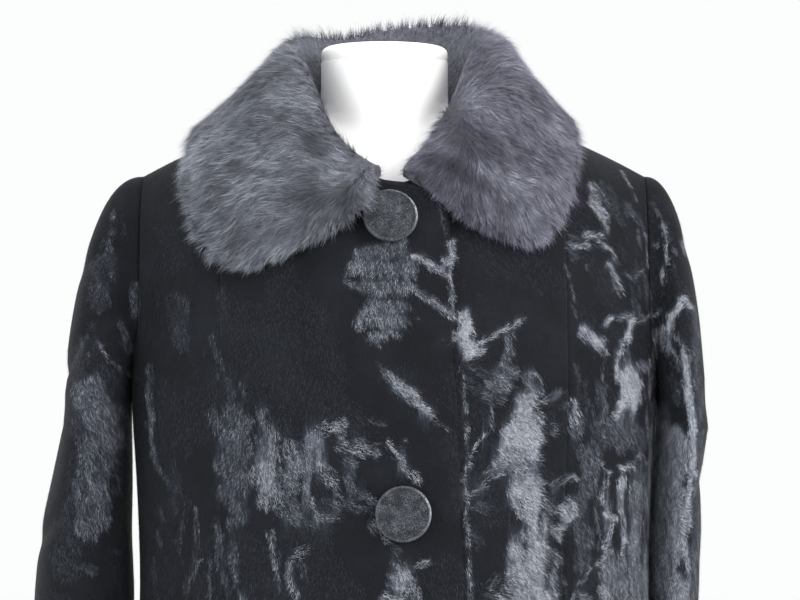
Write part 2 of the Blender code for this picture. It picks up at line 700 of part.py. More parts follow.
def form_stand(materials, collection):
    """Neck cap, pole and round base."""
    edge = NECK_RADIUS - CAP_INSET
    rim = tuple((edge - inward, share * CAP_HEIGHT) for inward, share in CAP_PROFILE)
    cap = ((0, 0), *rim, (0, CAP_HEIGHT))
    piece = turned("form_neck_cap", cap, 32, materials["form"], collection)
    piece.location = (*NECK_AXIS, NECK_TOP + GAP)
    pole_low, pole_high = BASE_HEIGHT + GAP, FORM_HEIGHTS[0] - GAP
    bpy.ops.mesh.primitive_cylinder_add(
        vertices=24, radius=POLE_RADIUS, depth=pole_high - pole_low,
        location=(NECK_AXIS[0], NECK_AXIS[1], (pole_low + pole_high) / 2))
    keep(bpy.context.object, "form_pole", materials["steel"], collection)
    bpy.ops.mesh.primitive_cylinder_add(
        vertices=48, radius=BASE_RADIUS, depth=BASE_HEIGHT, location=(0, 0, BASE_HEIGHT / 2))
    base = keep(bpy.context.object, "form_base", materials["steel"], collection)
    bevel = base.modifiers.new("edge", "BEVEL")
    bevel.width = BASE_BEVEL
    bevel.segments = 2
    bevel.limit_method = "ANGLE"


def keep(thing, name, material, collection):
    """Name a primitive, give it its material and move it to the coat's collection."""
    thing.name = name
    thing.data.name = name
    thing.data.materials.append(material)
    for other in list(thing.users_collection):
        other.objects.unlink(thing)
    collection.objects.link(thing)
    return thing


def make_material(name, colour, roughness, metallic=0.0):
    """A plain Principled material."""
    material = bpy.data.materials.new(name)
    material.use_nodes = True
    shader = material.node_tree.nodes["Principled BSDF"]
    shader.inputs["Base Color"].default_value = (*colour, 1.0)
    shader.inputs["Roughness"].default_value = roughness
    shader.inputs["Metallic"].default_value = metallic
    material.diffuse_color = (*colour, 1.0)
    return material


def main():
    """Clear the scene and build the coat and its form."""
    for thing in list(bpy.data.objects):
        bpy.data.objects.remove(thing, do_unlink=True)
    collection = bpy.data.collections.new("faux_fur_coat")
    bpy.context.scene.collection.children.link(collection)
    materials = {
        "pile": make_material("black_pile", (0.014, 0.016, 0.020), 0.75),
        "plush": make_material("grey_plush", (0.120, 0.125, 0.160), 0.80),
        "cover": make_material("button_cover", (0.030, 0.034, 0.040), 0.80),
        "form": make_material("form_white", (0.860, 0.850, 0.830), 0.60),
        "steel": make_material("brushed_steel", (0.560, 0.560, 0.570), 0.35, 1.0),
    }
    pile = materials["pile"]
    front_panel("front_right", -1, pile, collection)
    front_panel("front_left", 1, pile, collection)
    side_front("side_front_right", -1, pile, collection)
    side_front("side_front_left", 1, pile, collection)
    back_panel("back", pile, collection)
    sleeve("sleeve_right", -1, SLEEVES["right"], pile, collection)
    sleeve("sleeve_left", 1, SLEEVES["left"], pile, collection)
    collar("collar", materials["plush"], collection)
    for number, (x, height, tilt) in enumerate(BUTTONS, start=1):
        button(f"button_{number}", x, height, tilt, materials["cover"], collection)
    form_torso("form_torso", materials["form"], collection)
    form_stand(materials, collection)


main()
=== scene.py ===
# %% [markdown]
# # A faux fur coat on a dress form
# The coat is two kinds of fur. The body and sleeves are a short crushed pile, almost black,
# with patches where the nap lies the other way and turns silver. The collar is a deep plush
# that stands up in soft locks. The model keeps the cut of the solids it is dressed on, so the
# first cell loads that frame.

import math

import bpy
import numpy as np
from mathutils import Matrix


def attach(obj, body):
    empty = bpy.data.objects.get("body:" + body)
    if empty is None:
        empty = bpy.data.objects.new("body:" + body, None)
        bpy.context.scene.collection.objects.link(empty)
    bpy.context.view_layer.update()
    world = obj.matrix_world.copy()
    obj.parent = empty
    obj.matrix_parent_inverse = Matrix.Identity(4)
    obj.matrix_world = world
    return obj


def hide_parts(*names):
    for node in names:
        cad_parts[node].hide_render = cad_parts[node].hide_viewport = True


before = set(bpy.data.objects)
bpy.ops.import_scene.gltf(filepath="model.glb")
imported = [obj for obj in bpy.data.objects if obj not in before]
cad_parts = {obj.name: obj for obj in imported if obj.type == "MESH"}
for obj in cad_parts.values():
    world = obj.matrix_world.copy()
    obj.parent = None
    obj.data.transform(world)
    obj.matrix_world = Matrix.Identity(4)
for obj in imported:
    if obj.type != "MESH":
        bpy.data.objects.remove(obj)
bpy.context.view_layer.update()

# %% [markdown]
# ## The camera and the light
# The photograph was taken level with the chest from a little under two metres, with a mild
# telephoto lens, so the front is only slightly larger than the back. The light is a pale
# studio: even light from all round, one big soft panel from each side and one above.

# %% The camera
CAMERA_AT = (0.0054, -1.885, 1.2257)
PHOTO_WIDTH_PX = 800
FOCAL_PX = 2108
camera_data = bpy.data.cameras.new("camera")
camera_data.sensor_width = 36.0
camera_data.lens = camera_data.sensor_width * FOCAL_PX / PHOTO_WIDTH_PX
camera = bpy.data.objects.new("camera", camera_data)
camera.location = CAMERA_AT
camera.rotation_euler = (math.pi / 2, 0, 0)
bpy.context.scene.collection.objects.link(camera)
bpy.context.scene.camera = camera
print("lens", round(camera_data.lens, 2), "mm")


# %% The lamps and the sky
def lamp(name, at, aim, size, power, colour=(1, 1, 1)):
    """A square area lamp at a place, facing a point."""
    data = bpy.data.lights.new(name, "AREA")
    data.shape = "SQUARE"
    data.size = size
    data.energy = power
    data.color = colour
    thing = bpy.data.objects.new(name, data)
    thing.location = at
    direction = np.array(aim) - np.array(at)
    thing.rotation_euler = (
        math.acos(-direction[2] / np.linalg.norm(direction)), 0,
        math.atan2(-direction[0], direction[1]))
    bpy.context.scene.collection.objects.link(thing)


CHEST = (0.0, 0.0, 1.2)
lamp("key", (1.9, -1.7, 2.3), CHEST, 1.4, 55, (1.0, 0.98, 0.97))
lamp("fill", (-2.2, -1.6, 1.5), CHEST, 1.6, 28, (0.95, 0.98, 1.0))
lamp("top", (0.0, 0.3, 3.0), CHEST, 1.6, 34)

world = bpy.data.worlds.new("studio")
world.use_nodes = True
world.node_tree.nodes["Background"].inputs["Color"].default_value = (0.975, 0.982, 0.984, 1)
world.node_tree.nodes["Background"].inputs["Strength"].default_value = 1.0
bpy.context.scene.world = world
bpy.context.scene.view_settings.view_transform = "Standard"

# %% [markdown]
# ## Materials by expression
# A shader is easier to read as a formula than as a web of nodes. `Wire` wraps a socket, so
# that adding or multiplying two wires adds the Math node, and `Shader.node` makes any other.

# %% Wires
class Wire:
    """A number or colour in a node tree; + - * / ** add Math nodes."""

    def __init__(self, shader, socket):
        self.shader = shader
        self.socket = socket

    def math(self, operation, other, flipped=False):
        pair = (other, self) if flipped else (self, other)
        return self.shader.node("ShaderNodeMath", {"operation": operation},
                                {0: pair[0], 1: pair[1]})

    def __add__(self, other):
        return self.math("ADD", other)

    def __radd__(self, other):
        return self.math("ADD", other, True)

    def __sub__(self, other):
        return self.math("SUBTRACT", other)

    def __rsub__(self, other):
        return self.math("SUBTRACT", other, True)

    def __mul__(self, other):
        return self.math("MULTIPLY", other)

    def __rmul__(self, other):
        return self.math("MULTIPLY", other, True)

    def __truediv__(self, other):
        return self.math("DIVIDE", other)

    def __pow__(self, other):
        return self.math("POWER", other)

    def clamp(self):
        held = self.math("MAXIMUM", 0.0)
        return held.math("MINIMUM", 1.0)


# %% Shaders
class Shader:
    """A material under construction, with its Principled shader."""

    def __init__(self, name, **constants):
        self.material = bpy.data.materials.new(name)
        self.material.use_nodes = True
        self.tree = self.material.node_tree
        self.surface = self.tree.nodes["Principled BSDF"]
        for key, value in constants.items():
            self.surface.inputs[key.replace("_", " ")].default_value = value

    def node(self, kind, settings=None, values=None, out=0):
        """One node: settings first, then the values or wires of its sockets."""
        made = self.tree.nodes.new(kind)
        for key, value in (settings or {}).items():
            if key == "stops":
                ramp = made.color_ramp
                while len(ramp.elements) < len(value):
                    ramp.elements.new(0.5)
                for element, (place, colour) in zip(ramp.elements, value):
                    element.position = place
                    element.color = (*colour, 1.0)
            else:
                setattr(made, key, value)
        for key, value in (values or {}).items():
            if isinstance(value, Wire):
                self.tree.links.new(value.socket, made.inputs[key])
            else:
                made.inputs[key].default_value = value
        return Wire(self, made.outputs[out])

    def place(self, scale=(1, 1, 1)):
        """Object coordinates, stretched by a Mapping node."""
        here = self.node("ShaderNodeTexCoord", out="Object")
        return self.node("ShaderNodeMapping", None, {"Vector": here, "Scale": scale})

    def strand(self):
        """The hair map's two values: tone across it, share from root to tip up it."""
        split = self.node("ShaderNodeSeparateXYZ", None,
                          {0: self.node("ShaderNodeUVMap", {"uv_map": "OFBake"})})
        return split, Wire(self, split.socket.node.outputs[1])

    def noise(self, scale, detail=3.0, rough=0.55, at=None):
        return self.node("ShaderNodeTexNoise", None,
                         {"Vector": at or self.place(), "Scale": scale, "Detail": detail,
                          "Roughness": rough})

    def attribute(self, name):
        return self.node("ShaderNodeAttribute", {"attribute_name": name}, out="Fac")

    def ramp(self, factor, stops):
        return self.node("ShaderNodeValToRGB", {"stops": stops}, {"Fac": factor})

    def mix(self, factor, low, high):
        """Colour between two colours; sockets 6 and 7 are the colour inputs."""
        return self.node("ShaderNodeMix", {"data_type": "RGBA"},
                         {0: factor, 6: low, 7: high}, out=2)

    def bump(self, height, strength, distance):
        return self.node("ShaderNodeBump", None,
                         {"Height": height, "Strength": strength, "Distance": distance})

    def feed(self, **wires):
        for key, wire in wires.items():
            self.tree.links.new(wire.socket, self.surface.inputs[key.replace("_", " ")])
        return self.material


# %% [markdown]
# ## Noise, easing and tables
# A few helpers shape everything: a soft step, a smooth curve through a short table, and a
# repeatable noise for the uneven edges of the nap. The noise's lattice of random numbers is
# drawn once, so every run gives the same coat.

# %% Helpers
def ease(t):
    """0 to 1 with soft ends: 3t^2 - 2t^3."""
    t = np.clip(t, 0.0, 1.0)
    return t * t * (3 - 2 * t)


def unit(vectors):
    """Each vector at length 1."""
    return vectors / np.maximum(np.linalg.norm(vectors, axis=-1, keepdims=True), 1e-9)


def spline(table, column, at):
    """Hermite curve through a column of a table, with central-difference slopes."""
    rows = np.array(table)
    knots, values = rows[:, 0], rows[:, column]
    slopes = np.gradient(values, knots)
    if len(knots) > 1 and knots[0] > knots[-1]:
        knots, values, slopes = knots[::-1], values[::-1], slopes[::-1]
    at = np.clip(at, knots[0], knots[-1])
    left = np.clip(np.searchsorted(knots, at) - 1, 0, len(knots) - 2)
    span = knots[left + 1] - knots[left]
    t = (at - knots[left]) / span
    ends = (2 * t**3 - 3 * t**2 + 1) * values[left] + (3 * t**2 - 2 * t**3) * values[left + 1]
    turns = (t**3 - 2 * t**2 + t) * slopes[left] + (t**3 - t**2) * slopes[left + 1]
    return ends + turns * span


LATTICE_CELLS = 48
LATTICE = np.random.default_rng(11).random((LATTICE_CELLS,) * 3).astype(np.float32)


def value_noise(points, size, shift=0.0):
    """Noise from 0 to 1: a random lattice, `size` metres a cell, blended smoothly."""
    where = np.asarray(points) / size + shift + 1000.0
    low = np.floor(where).astype(int)
    t = ease(where - low)
    total = 0.0
    for corner in range(8):
        step = np.array([corner & 1, corner >> 1 & 1, corner >> 2])
        cell = (low + step) % LATTICE_CELLS
        weight = np.prod(np.where(step, t, 1 - t), axis=-1)
        total = total + weight * LATTICE[cell[..., 0], cell[..., 1], cell[..., 2]]
    return total


def layered_noise(points, size, layers=3, shift=0.0):
    """Several value noises, each half the size and half the strength of the last."""
    total, weight = 0.0, 0.0
    for layer in range(layers):
        total = total + value_noise(points, size / 2**layer, shift + 7.3 * layer) / 2**layer
        weight += 1 / 2**layer
    return total / weight


# %% [markdown]
# ## The coat's surface
# The cloth follows one surface, the same as its solids. Below the chest a point is given by a
# turn round the body and a depth below the chest; above it, by the same turn and the angle of
# an arch that rises from the chest to the shoulder seam. Each panel is a patch of it.

# %% The coat's surface
WALL = 0.004
GAP = 0.0003            # between the panels at a seam
OVERLAP_LIFT = WALL + 0.0009
LAP_START, LAP_FADE = -0.080, 0.024     # where the lap begins to rise, and over what width
HEM_Z, CHEST_Z = 0.450, 1.135
SHOULDER_Z, SHOULDER_FALL, SHOULDER_TIP, SHOULDER_POWER = 1.412, 0.076, 0.2235, 1.6
RING_POWER = 2.4
BODY_LEVELS = (         # (height, half_width, front_depth, back_depth)
    (0.450, 0.276, 0.196, 0.200),
    (0.600, 0.256, 0.178, 0.180),
    (0.780, 0.238, 0.158, 0.157),
    (0.980, 0.226, 0.142, 0.139),
    (1.135, 0.234, 0.135, 0.133),
)
HEM_FLUTE = 0.009
FLUTES = ((8, 0.4, 0.60), (5, -1.1, 0.40))      # (count, turn, share)
NECK_HALF = 0.076
NECK_Z = SHOULDER_Z - SHOULDER_FALL * (NECK_HALF / SHOULDER_TIP) ** SHOULDER_POWER
NECK_DROP, NECK_RISE, NECK_SQUARE, NECK_SOFT, NAPE_RISE = 0.074, 0.002, 1.7, 0.75, 0.056
UNDERARM_EASE = math.radians(22)
PRINCESS_X, UNDER_EDGE_X = 0.147, 0.050
EDGE_X_TOP, EDGE_LEAN, EDGE_X_MAX, LAP_TOP_FALL = 0.044, 0.040, 0.062, 0.10
SIDE = math.pi / 2


def ring_x(turn):
    """Share of the half-width: the sine raised to 2 over the ring's power."""
    return np.sign(np.sin(turn)) * np.abs(np.sin(turn)) ** (2 / RING_POWER)


def ring_turn(share):
    """The turn whose ring_x is `share`, on the front."""
    return np.sign(share) * np.arcsin(np.clip(np.abs(share), 0, 1) ** (RING_POWER / 2))


def shoulder_z(x, turn):
    """Height of the arch over x; behind the neck the back arches higher."""
    height = SHOULDER_Z - SHOULDER_FALL * (np.abs(x) / SHOULDER_TIP) ** SHOULDER_POWER
    near = np.clip(1 - (x / NECK_HALF) ** 2, 0, 1) ** 2
    return height + np.where(np.cos(turn) < 0, NAPE_RISE, 0.0) * near


# %% A point of the coat
def coat_point(turn, level):
    """Ring point at a turn: width times ring_x, depth times cosine, arched over if level > 0."""
    turn, level = np.broadcast_arrays(np.asarray(turn, float), np.asarray(level, float))
    height = CHEST_Z + np.minimum(level, 0.0)
    arch = np.maximum(level, 0.0)
    front = np.cos(turn) > 0
    wide = spline(BODY_LEVELS, 1, height)
    deep = np.where(front, spline(BODY_LEVELS, 2, height), spline(BODY_LEVELS, 3, height))
    fall = ease((CHEST_Z - height) / (CHEST_Z - HEM_Z)) ** 1.5
    push = HEM_FLUTE * fall * sum(s * np.cos(n * turn + p) for n, p, s in FLUTES)
    x = wide * ring_x(turn) + push * np.sin(turn)
    y = -deep * np.cos(turn) * np.cos(arch) - push * np.cos(turn)
    z = height + (shoulder_z(x, turn) - CHEST_Z) * np.sin(arch)
    return np.stack([x, y, z], axis=-1)


def coat_normal(turn, level, step=1e-3):
    """Outward normal: the cross product of small steps round the body and up it."""
    across = coat_point(turn + step, level) - coat_point(turn - step, level)
    up = coat_point(turn, level + step) - coat_point(turn, level - step)
    return unit(np.cross(across, up))


def arch_at(turn, height):
    """Arch angle whose sine lifts the surface over `turn` to `height`."""
    x = CHEST_HALF * ring_x(turn)
    return np.arcsin(np.clip((height - CHEST_Z) / (shoulder_z(x, turn) - CHEST_Z), 0, 1))


# %% Where the seams run
CHEST_HALF = BODY_LEVELS[-1][1]
ARM_TURN = float(ring_turn(SHOULDER_TIP / CHEST_HALF))
PRINCESS_TURN = float(ring_turn(PRINCESS_X / CHEST_HALF))
NECK_TURN = float(ring_turn(NECK_HALF / CHEST_HALF))


def side_turn(arch):
    """Turn of the armhole's edge: the side seam at the chest, then the shoulder's tip."""
    return ARM_TURN + (SIDE - ARM_TURN) * (1 - ease(arch / UNDERARM_EASE))


def neckline_z(x, back=False):
    """Side neck height, less a rounded bow over the front, plus a slight one at the back."""
    bow = np.clip(1 - np.abs(x / NECK_HALF) ** NECK_SQUARE, 0, 1) ** NECK_SOFT
    return NECK_Z + NECK_RISE * bow if back else NECK_Z - NECK_DROP * bow


def lap_lift(x):
    """How far the right front rides up over the left one."""
    return OVERLAP_LIFT * ease((x - LAP_START) / LAP_FADE)


print("princess seam at", round(math.degrees(PRINCESS_TURN), 1), "degrees")


# %% [markdown]
# ## The nap
# On the real cloth the pile was crushed in the making, so it lies in drifts. Where it leans
# towards the light it shines silver, elsewhere it is black; that silver is painted sheen in
# the colour of the cloth and its hairs. Each drift seen in the photograph is a short stroke
# here, with its width, brightness and the way its hairs lie. A painted image could hold them
# too, but strokes also tell the hairs where to grow and how to lean.
# The strokes were given with places and half-widths in the photograph's pixels, shine of
# 1, and the lie in degrees from +x, upwards positive. The last cell lays them on the coat.
# Noise breaks their edges. Below the photograph's lower edge and behind the side seams, noise
# alone makes drifts of the same size, and a ragged border hides where the two meet.

# %% Drifts on the fronts
FRONT_DRIFTS = (      # (px0, py0, px1, py1, half_width, shine, lie)
    # leaf under the top button
    (358, 252, 402, 250, 9, 0.42, -75), (352, 266, 408, 268, 10, 0.44, -80),
    (364, 284, 404, 286, 10, 0.42, -78), (346, 283, 358, 286, 4, 0.46, -20),
    (372, 304, 402, 304, 8, 0.44, -75), (364, 318, 400, 320, 10, 0.46, -70),
    (372, 334, 396, 330, 7, 0.44, -65), (408, 284, 428, 297, 4, 0.50, -40),
    (403, 240, 405, 262, 5, 0.40, -80), (376, 337, 380, 343, 3, 0.45, -60),
    # ridge right of it and the fork
    (413, 254, 430, 262, 3.5, 0.66, -30), (428, 261, 446, 274, 4.5, 0.72, -40),
    (445, 262, 452, 258, 5, 0.70, 60), (452, 240, 452, 262, 4, 0.72, -85),
    (451, 262, 453, 305, 3.2, 0.66, -86), (430, 298, 440, 308, 4, 0.62, -45),
    (444, 308, 455, 318, 4.5, 0.66, -50), (441, 342, 446, 344, 1.4, 0.50, 30),
    (416, 320, 438, 322, 1.2, 0.30, 0),
    # bright knot and its tongue
    (462, 314, 468, 330, 7, 0.92, -60), (460, 334, 470, 346, 9, 0.96, -50),
    (466, 352, 474, 352, 8, 0.90, 20), (474, 346, 492, 336, 3.4, 0.82, 30),
    (492, 336, 522, 320, 2.6, 0.74, 28), (508, 332, 512, 352, 6, 0.48, -75),
    (505, 356, 503, 372, 5, 0.44, -80), (497, 372, 510, 372, 8, 0.50, -35),
    (488, 384, 506, 384, 8, 0.50, -40), (484, 396, 500, 398, 7, 0.44, -30),
    (490, 402, 492, 424, 3.5, 0.48, -80), (468, 366, 480, 372, 6, 0.34, -20),
    (466, 382, 478, 392, 7, 0.28, -15), (484, 436, 472, 450, 2, 0.72, 48),
    (472, 450, 466, 458, 2, 0.60, 48),
    # strokes across the middle
    (386, 372, 398, 382, 5, 0.60, -42), (396, 384, 412, 396, 6, 0.70, -42),
    (412, 396, 430, 412, 5, 0.70, -42), (434, 420, 446, 428, 3, 0.56, -40),
    (378, 362, 390, 376, 4, 0.36, -45), (388, 442, 400, 458, 5, 0.66, -52),
    (398, 456, 414, 478, 5, 0.66, -54), (370, 420, 380, 424, 5, 0.42, -30),
    (372, 444, 390, 440, 2.6, 0.36, 8), (403, 441, 405, 442, 1.2, 0.85, 0),
    # large patch on the wearer's right
    (212, 412, 222, 430, 7, 0.40, -85), (232, 410, 246, 420, 11, 0.42, -80),
    (230, 436, 246, 448, 14, 0.46, -82), (228, 462, 240, 484, 13, 0.44, -84),
    (226, 492, 240, 508, 11, 0.42, -84), (232, 520, 244, 516, 8, 0.42, -70),
    (262, 410, 270, 432, 9, 0.52, -70), (266, 438, 272, 456, 11, 0.56, -75),
    (266, 468, 270, 492, 13, 0.66, -80), (262, 496, 276, 500, 8, 0.56, -60),
    (288, 446, 294, 466, 9, 0.60, -65), (284, 470, 292, 486, 8, 0.50, -60),
    (286, 492, 296, 512, 6, 0.46, -55), (280, 512, 296, 522, 6, 0.48, -45),
    (302, 520, 312, 524, 5, 0.46, -40), (310, 440, 326, 428, 7, 0.62, 40),
    (324, 430, 340, 424, 7, 0.64, 20), (336, 420, 340, 434, 5, 0.60, -60),
    (304, 452, 312, 466, 7, 0.58, -60), (340, 446, 360, 450, 8, 0.60, -20),
    (356, 444, 372, 452, 8, 0.60, -25), (344, 458, 352, 462, 6, 0.50, -30),
    (322, 466, 330, 480, 8, 0.66, -45), (330, 482, 340, 496, 4, 0.56, -50),
    (304, 484, 312, 500, 4.5, 0.62, -62), (312, 500, 320, 518, 3.2, 0.66, -64),
    (316, 516, 336, 516, 5, 0.52, -20), (336, 500, 352, 506, 7, 0.46, -30),
    (348, 474, 354, 494, 6, 0.44, -70), (322, 500, 336, 508, 5, 0.46, -30),
    (362, 492, 378, 506, 6, 0.42, -35), (356, 508, 372, 512, 5, 0.34, -20),
    (372, 518, 384, 536, 3, 0.50, -60), (368, 522, 376, 530, 4, 0.40, -50),
    # lower strokes on the right front
    (272, 532, 276, 562, 5, 0.56, -82), (276, 566, 280, 588, 3.5, 0.52, -78),
    (292, 556, 306, 552, 5, 0.50, 20), (288, 562, 292, 586, 5, 0.60, -78),
    (294, 588, 298, 600, 4, 0.58, -70), (300, 560, 306, 574, 4, 0.40, -70),
    (218, 520, 222, 560, 5, 0.36, -86), (232, 540, 238, 580, 5, 0.44, -80),
    (240, 588, 246, 600, 4, 0.44, -75), (250, 560, 254, 600, 4, 0.24, -85),
    (222, 566, 230, 592, 5, 0.36, -84),
    # bottom, under the middle button
    (400, 566, 410, 580, 8, 0.66, -70), (392, 578, 404, 588, 7, 0.62, -50),
    (384, 592, 398, 598, 6, 0.66, -30), (414, 586, 418, 600, 6, 0.56, -80),
    (412, 566, 424, 562, 3, 0.50, 15), (390, 542, 396, 548, 3, 0.34, -40),
    # the broad bright band on the left front
    (528, 376, 536, 388, 8, 0.50, -60), (522, 398, 534, 400, 10, 0.74, -50),
    (520, 414, 532, 418, 12, 0.86, -52), (514, 434, 530, 436, 13, 0.86, -50),
    (508, 450, 528, 454, 13, 0.80, -48), (500, 462, 520, 466, 10, 0.66, -45),
    (520, 474, 532, 486, 12, 0.74, -50), (518, 492, 532, 502, 13, 0.78, -55),
    (526, 508, 538, 524, 11, 0.78, -62), (526, 534, 536, 546, 10, 0.76, -66),
    (516, 550, 532, 560, 12, 0.72, -60), (514, 572, 536, 576, 13, 0.72, -55),
    (520, 592, 544, 596, 12, 0.74, -60), (500, 592, 512, 586, 9, 0.62, -30),
    (488, 594, 500, 598, 6, 0.50, -20), (544, 546, 556, 560, 7, 0.66, -58),
    (552, 570, 556, 590, 5, 0.60, -75), (544, 404, 556, 396, 5, 0.46, 35),
    (540, 424, 552, 430, 5, 0.50, -40), (544, 514, 556, 534, 8, 0.66, -62),
    (540, 500, 556, 512, 6, 0.50, -40), (560, 508, 568, 514, 7, 0.72, -55),
    (566, 498, 574, 510, 7, 0.78, -65), (560, 530, 566, 524, 4, 0.62, 40),
    (552, 490, 570, 480, 4, 0.54, 35), (568, 474, 576, 478, 3.5, 0.56, -50),
    (562, 410, 566, 404, 3, 0.44, 50), (488, 472, 500, 466, 6, 0.44, 30),
    (466, 496, 480, 490, 5, 0.46, 25), (480, 484, 500, 474, 2.2, 0.60, 32),
    (474, 506, 484, 508, 6, 0.38, -20), (468, 530, 478, 540, 6, 0.34, -40),
    (488, 586, 496, 580, 5, 0.42, 30), (572, 402, 576, 420, 6, 0.60, -72),
    (578, 412, 582, 430, 5, 0.56, -75), (572, 428, 578, 438, 4, 0.52, -70),
    (576, 364, 580, 396, 2.6, 0.34, -84), (584, 380, 588, 410, 3, 0.30, -80),
    (594, 404, 600, 440, 3.4, 0.36, -78), (588, 416, 592, 440, 3, 0.30, -80),
    (596, 440, 600, 460, 2.6, 0.30, -80),
    # about the armhole
    (586, 332, 600, 342, 8, 0.86, -55), (598, 340, 606, 350, 4, 0.78, -60),
    (602, 328, 612, 320, 3, 0.66, 48), (610, 318, 630, 316, 2.6, 0.60, 5),
    (632, 314, 636, 322, 4, 0.70, -60), (634, 322, 626, 340, 3.6, 0.86, 68),
    (626, 340, 618, 352, 3.4, 0.76, 60), (617, 352, 618, 376, 2.8, 0.76, -88),
    (624, 352, 628, 368, 4, 0.44, -78), (624, 376, 636, 376, 8, 1.0, -60),
    (626, 392, 638, 392, 9, 1.0, -55), (620, 404, 634, 400, 5, 0.92, 30),
    (618, 412, 612, 420, 2.8, 0.74, 52), (608, 420, 602, 418, 2, 0.66, -20),
    (640, 364, 650, 366, 6, 0.58, -60), (644, 380, 650, 396, 4, 0.40, -80),
    (652, 360, 652, 396, 2.6, 0.66, -86), (650, 400, 650, 426, 2.4, 0.62, -86),
    (651, 428, 652, 446, 2.2, 0.56, -86), (640, 322, 660, 314, 3, 0.56, 30),
    (636, 300, 642, 314, 5, 0.44, -70), (650, 290, 654, 312, 4, 0.40, -80),
    (646, 270, 650, 286, 4, 0.36, -80), (604, 360, 605, 410, 1.6, 0.46, -88),
    (624, 420, 634, 432, 5, 0.34, -60), (620, 436, 624, 450, 3, 0.34, -70),
    (604, 420, 608, 440, 2, 0.30, -80),
    # ladder under it
    (600, 462, 610, 474, 1.8, 0.74, -50), (608, 474, 606, 492, 2.6, 0.78, 84),
    (604, 492, 603, 506, 2.6, 0.74, 88), (606, 514, 614, 520, 5, 0.82, -40),
    (612, 522, 610, 536, 2.8, 0.74, 80), (608, 540, 602, 556, 2.8, 0.74, 72),
    (602, 558, 596, 568, 2.2, 0.66, 60), (590, 572, 580, 584, 2.4, 0.60, 52),
    (578, 586, 572, 600, 2, 0.52, 62), (596, 470, 596, 500, 1.6, 0.50, -88),
    (596, 504, 598, 530, 1.6, 0.44, -86), (600, 532, 598, 548, 1.4, 0.36, -88),
    (622, 468, 632, 466, 5, 0.72, -30), (624, 480, 624, 496, 5.5, 0.86, -86),
    (620, 504, 624, 512, 4.5, 0.80, -70), (625, 516, 626, 540, 3.2, 0.76, -86),
    (625, 542, 622, 558, 2.8, 0.72, 80), (620, 562, 628, 568, 2, 0.50, -30),
    (612, 568, 620, 572, 2, 0.48, -20), (642, 452, 650, 470, 4, 0.60, -70),
    (648, 474, 649, 520, 3.4, 0.52, -87), (647, 524, 648, 600, 3.6, 0.50, -88),
    (636, 460, 646, 458, 3, 0.52, 10), (662, 466, 664, 482, 1.2, 0.50, -82),
    (600, 588, 608, 596, 7, 0.66, -50), (580, 596, 588, 600, 4, 0.52, -30),
    (560, 560, 566, 596, 2, 0.34, -80),
    # under the collar's left side
    (592, 186, 600, 196, 6, 0.60, -55), (592, 200, 602, 212, 5, 0.72, -50),
    (604, 216, 608, 234, 3.4, 0.62, -70), (584, 236, 600, 234, 4, 0.74, -5),
    (598, 240, 610, 248, 3.4, 0.72, -45), (570, 244, 588, 246, 3.4, 0.56, -8),
    (612, 250, 620, 262, 2, 0.60, -60), (566, 232, 576, 236, 5, 0.36, -30),
    (566, 246, 576, 256, 4, 0.34, -40), (608, 262, 618, 276, 4, 0.66, -58),
    (616, 276, 624, 288, 4, 0.62, -52), (614, 284, 620, 294, 3, 0.60, -62),
    (624, 272, 634, 276, 2.4, 0.54, -20), (636, 276, 646, 268, 2.4, 0.50, 35),
    (622, 166, 632, 184, 1.6, 0.60, -58), (632, 184, 638, 204, 1.8, 0.60, -70),
    (630, 204, 640, 216, 5, 0.40, -50), (644, 222, 648, 236, 3.4, 0.62, -70),
    (649, 238, 650, 264, 2, 0.60, -87), (640, 230, 644, 246, 3, 0.36, -70),
    (622, 200, 630, 210, 5, 0.30, -60), (604, 186, 616, 200, 7, 0.30, -60),
    (612, 206, 624, 218, 6, 0.28, -60), (630, 232, 640, 256, 7, 0.20, -80),
    (616, 240, 626, 256, 5, 0.18, -70), (606, 196, 610, 206, 4, 0.40, -60),
    # down the wearer's right side
    (148, 366, 150, 380, 4, 0.40, -84), (146, 384, 150, 416, 4, 0.52, -86),
    (148, 420, 152, 452, 4, 0.54, -84), (150, 456, 158, 470, 4, 0.46, -60),
    (160, 474, 176, 486, 4, 0.34, -40), (156, 506, 160, 520, 4, 0.34, -70),
    (158, 530, 164, 560, 3, 0.36, -80), (184, 510, 176, 560, 3, 0.36, 78),
    (196, 508, 198, 560, 2.6, 0.44, -86), (198, 560, 186, 596, 2.6, 0.44, 72),
    (210, 560, 212, 600, 2.2, 0.40, -86), (176, 540, 180, 560, 4, 0.30, -80),
    (150, 560, 156, 600, 4, 0.30, -84), (156, 252, 176, 268, 6, 0.20, -70),
    (146, 280, 160, 320, 6, 0.18, -80), (168, 310, 176, 344, 4, 0.26, -78),
    (184, 300, 184, 340, 4, 0.22, -84), (220, 290, 222, 330, 6, 0.26, -84),
    (212, 334, 218, 356, 4, 0.36, -80), (218, 362, 220, 380, 4, 0.28, -84),
    (228, 380, 232, 396, 6, 0.34, -80), (242, 384, 246, 398, 4, 0.38, -80),
    (200, 330, 204, 352, 2, 0.24, -84), (192, 350, 196, 372, 4, 0.18, -80),
    (150, 222, 160, 236, 4, 0.22, -70), (160, 236, 170, 242, 3, 0.24, -30),
    # faint ones in the dark fields
    (484, 266, 490, 276, 4, 0.20, -40), (270, 330, 276, 345, 5, 0.12, -70),
    (300, 350, 330, 372, 8, 0.08, -60), (480, 296, 486, 310, 4, 0.16, -40),
    (430, 460, 450, 500, 8, 0.08, -60), (500, 284, 512, 300, 6, 0.08, -60),
    (330, 390, 360, 410, 8, 0.10, -50), (566, 262, 571, 280, 1.4, 0.50, -78),
    (571, 282, 574, 300, 2.2, 0.46, -76), (574, 302, 577, 314, 1.4, 0.40, -70),
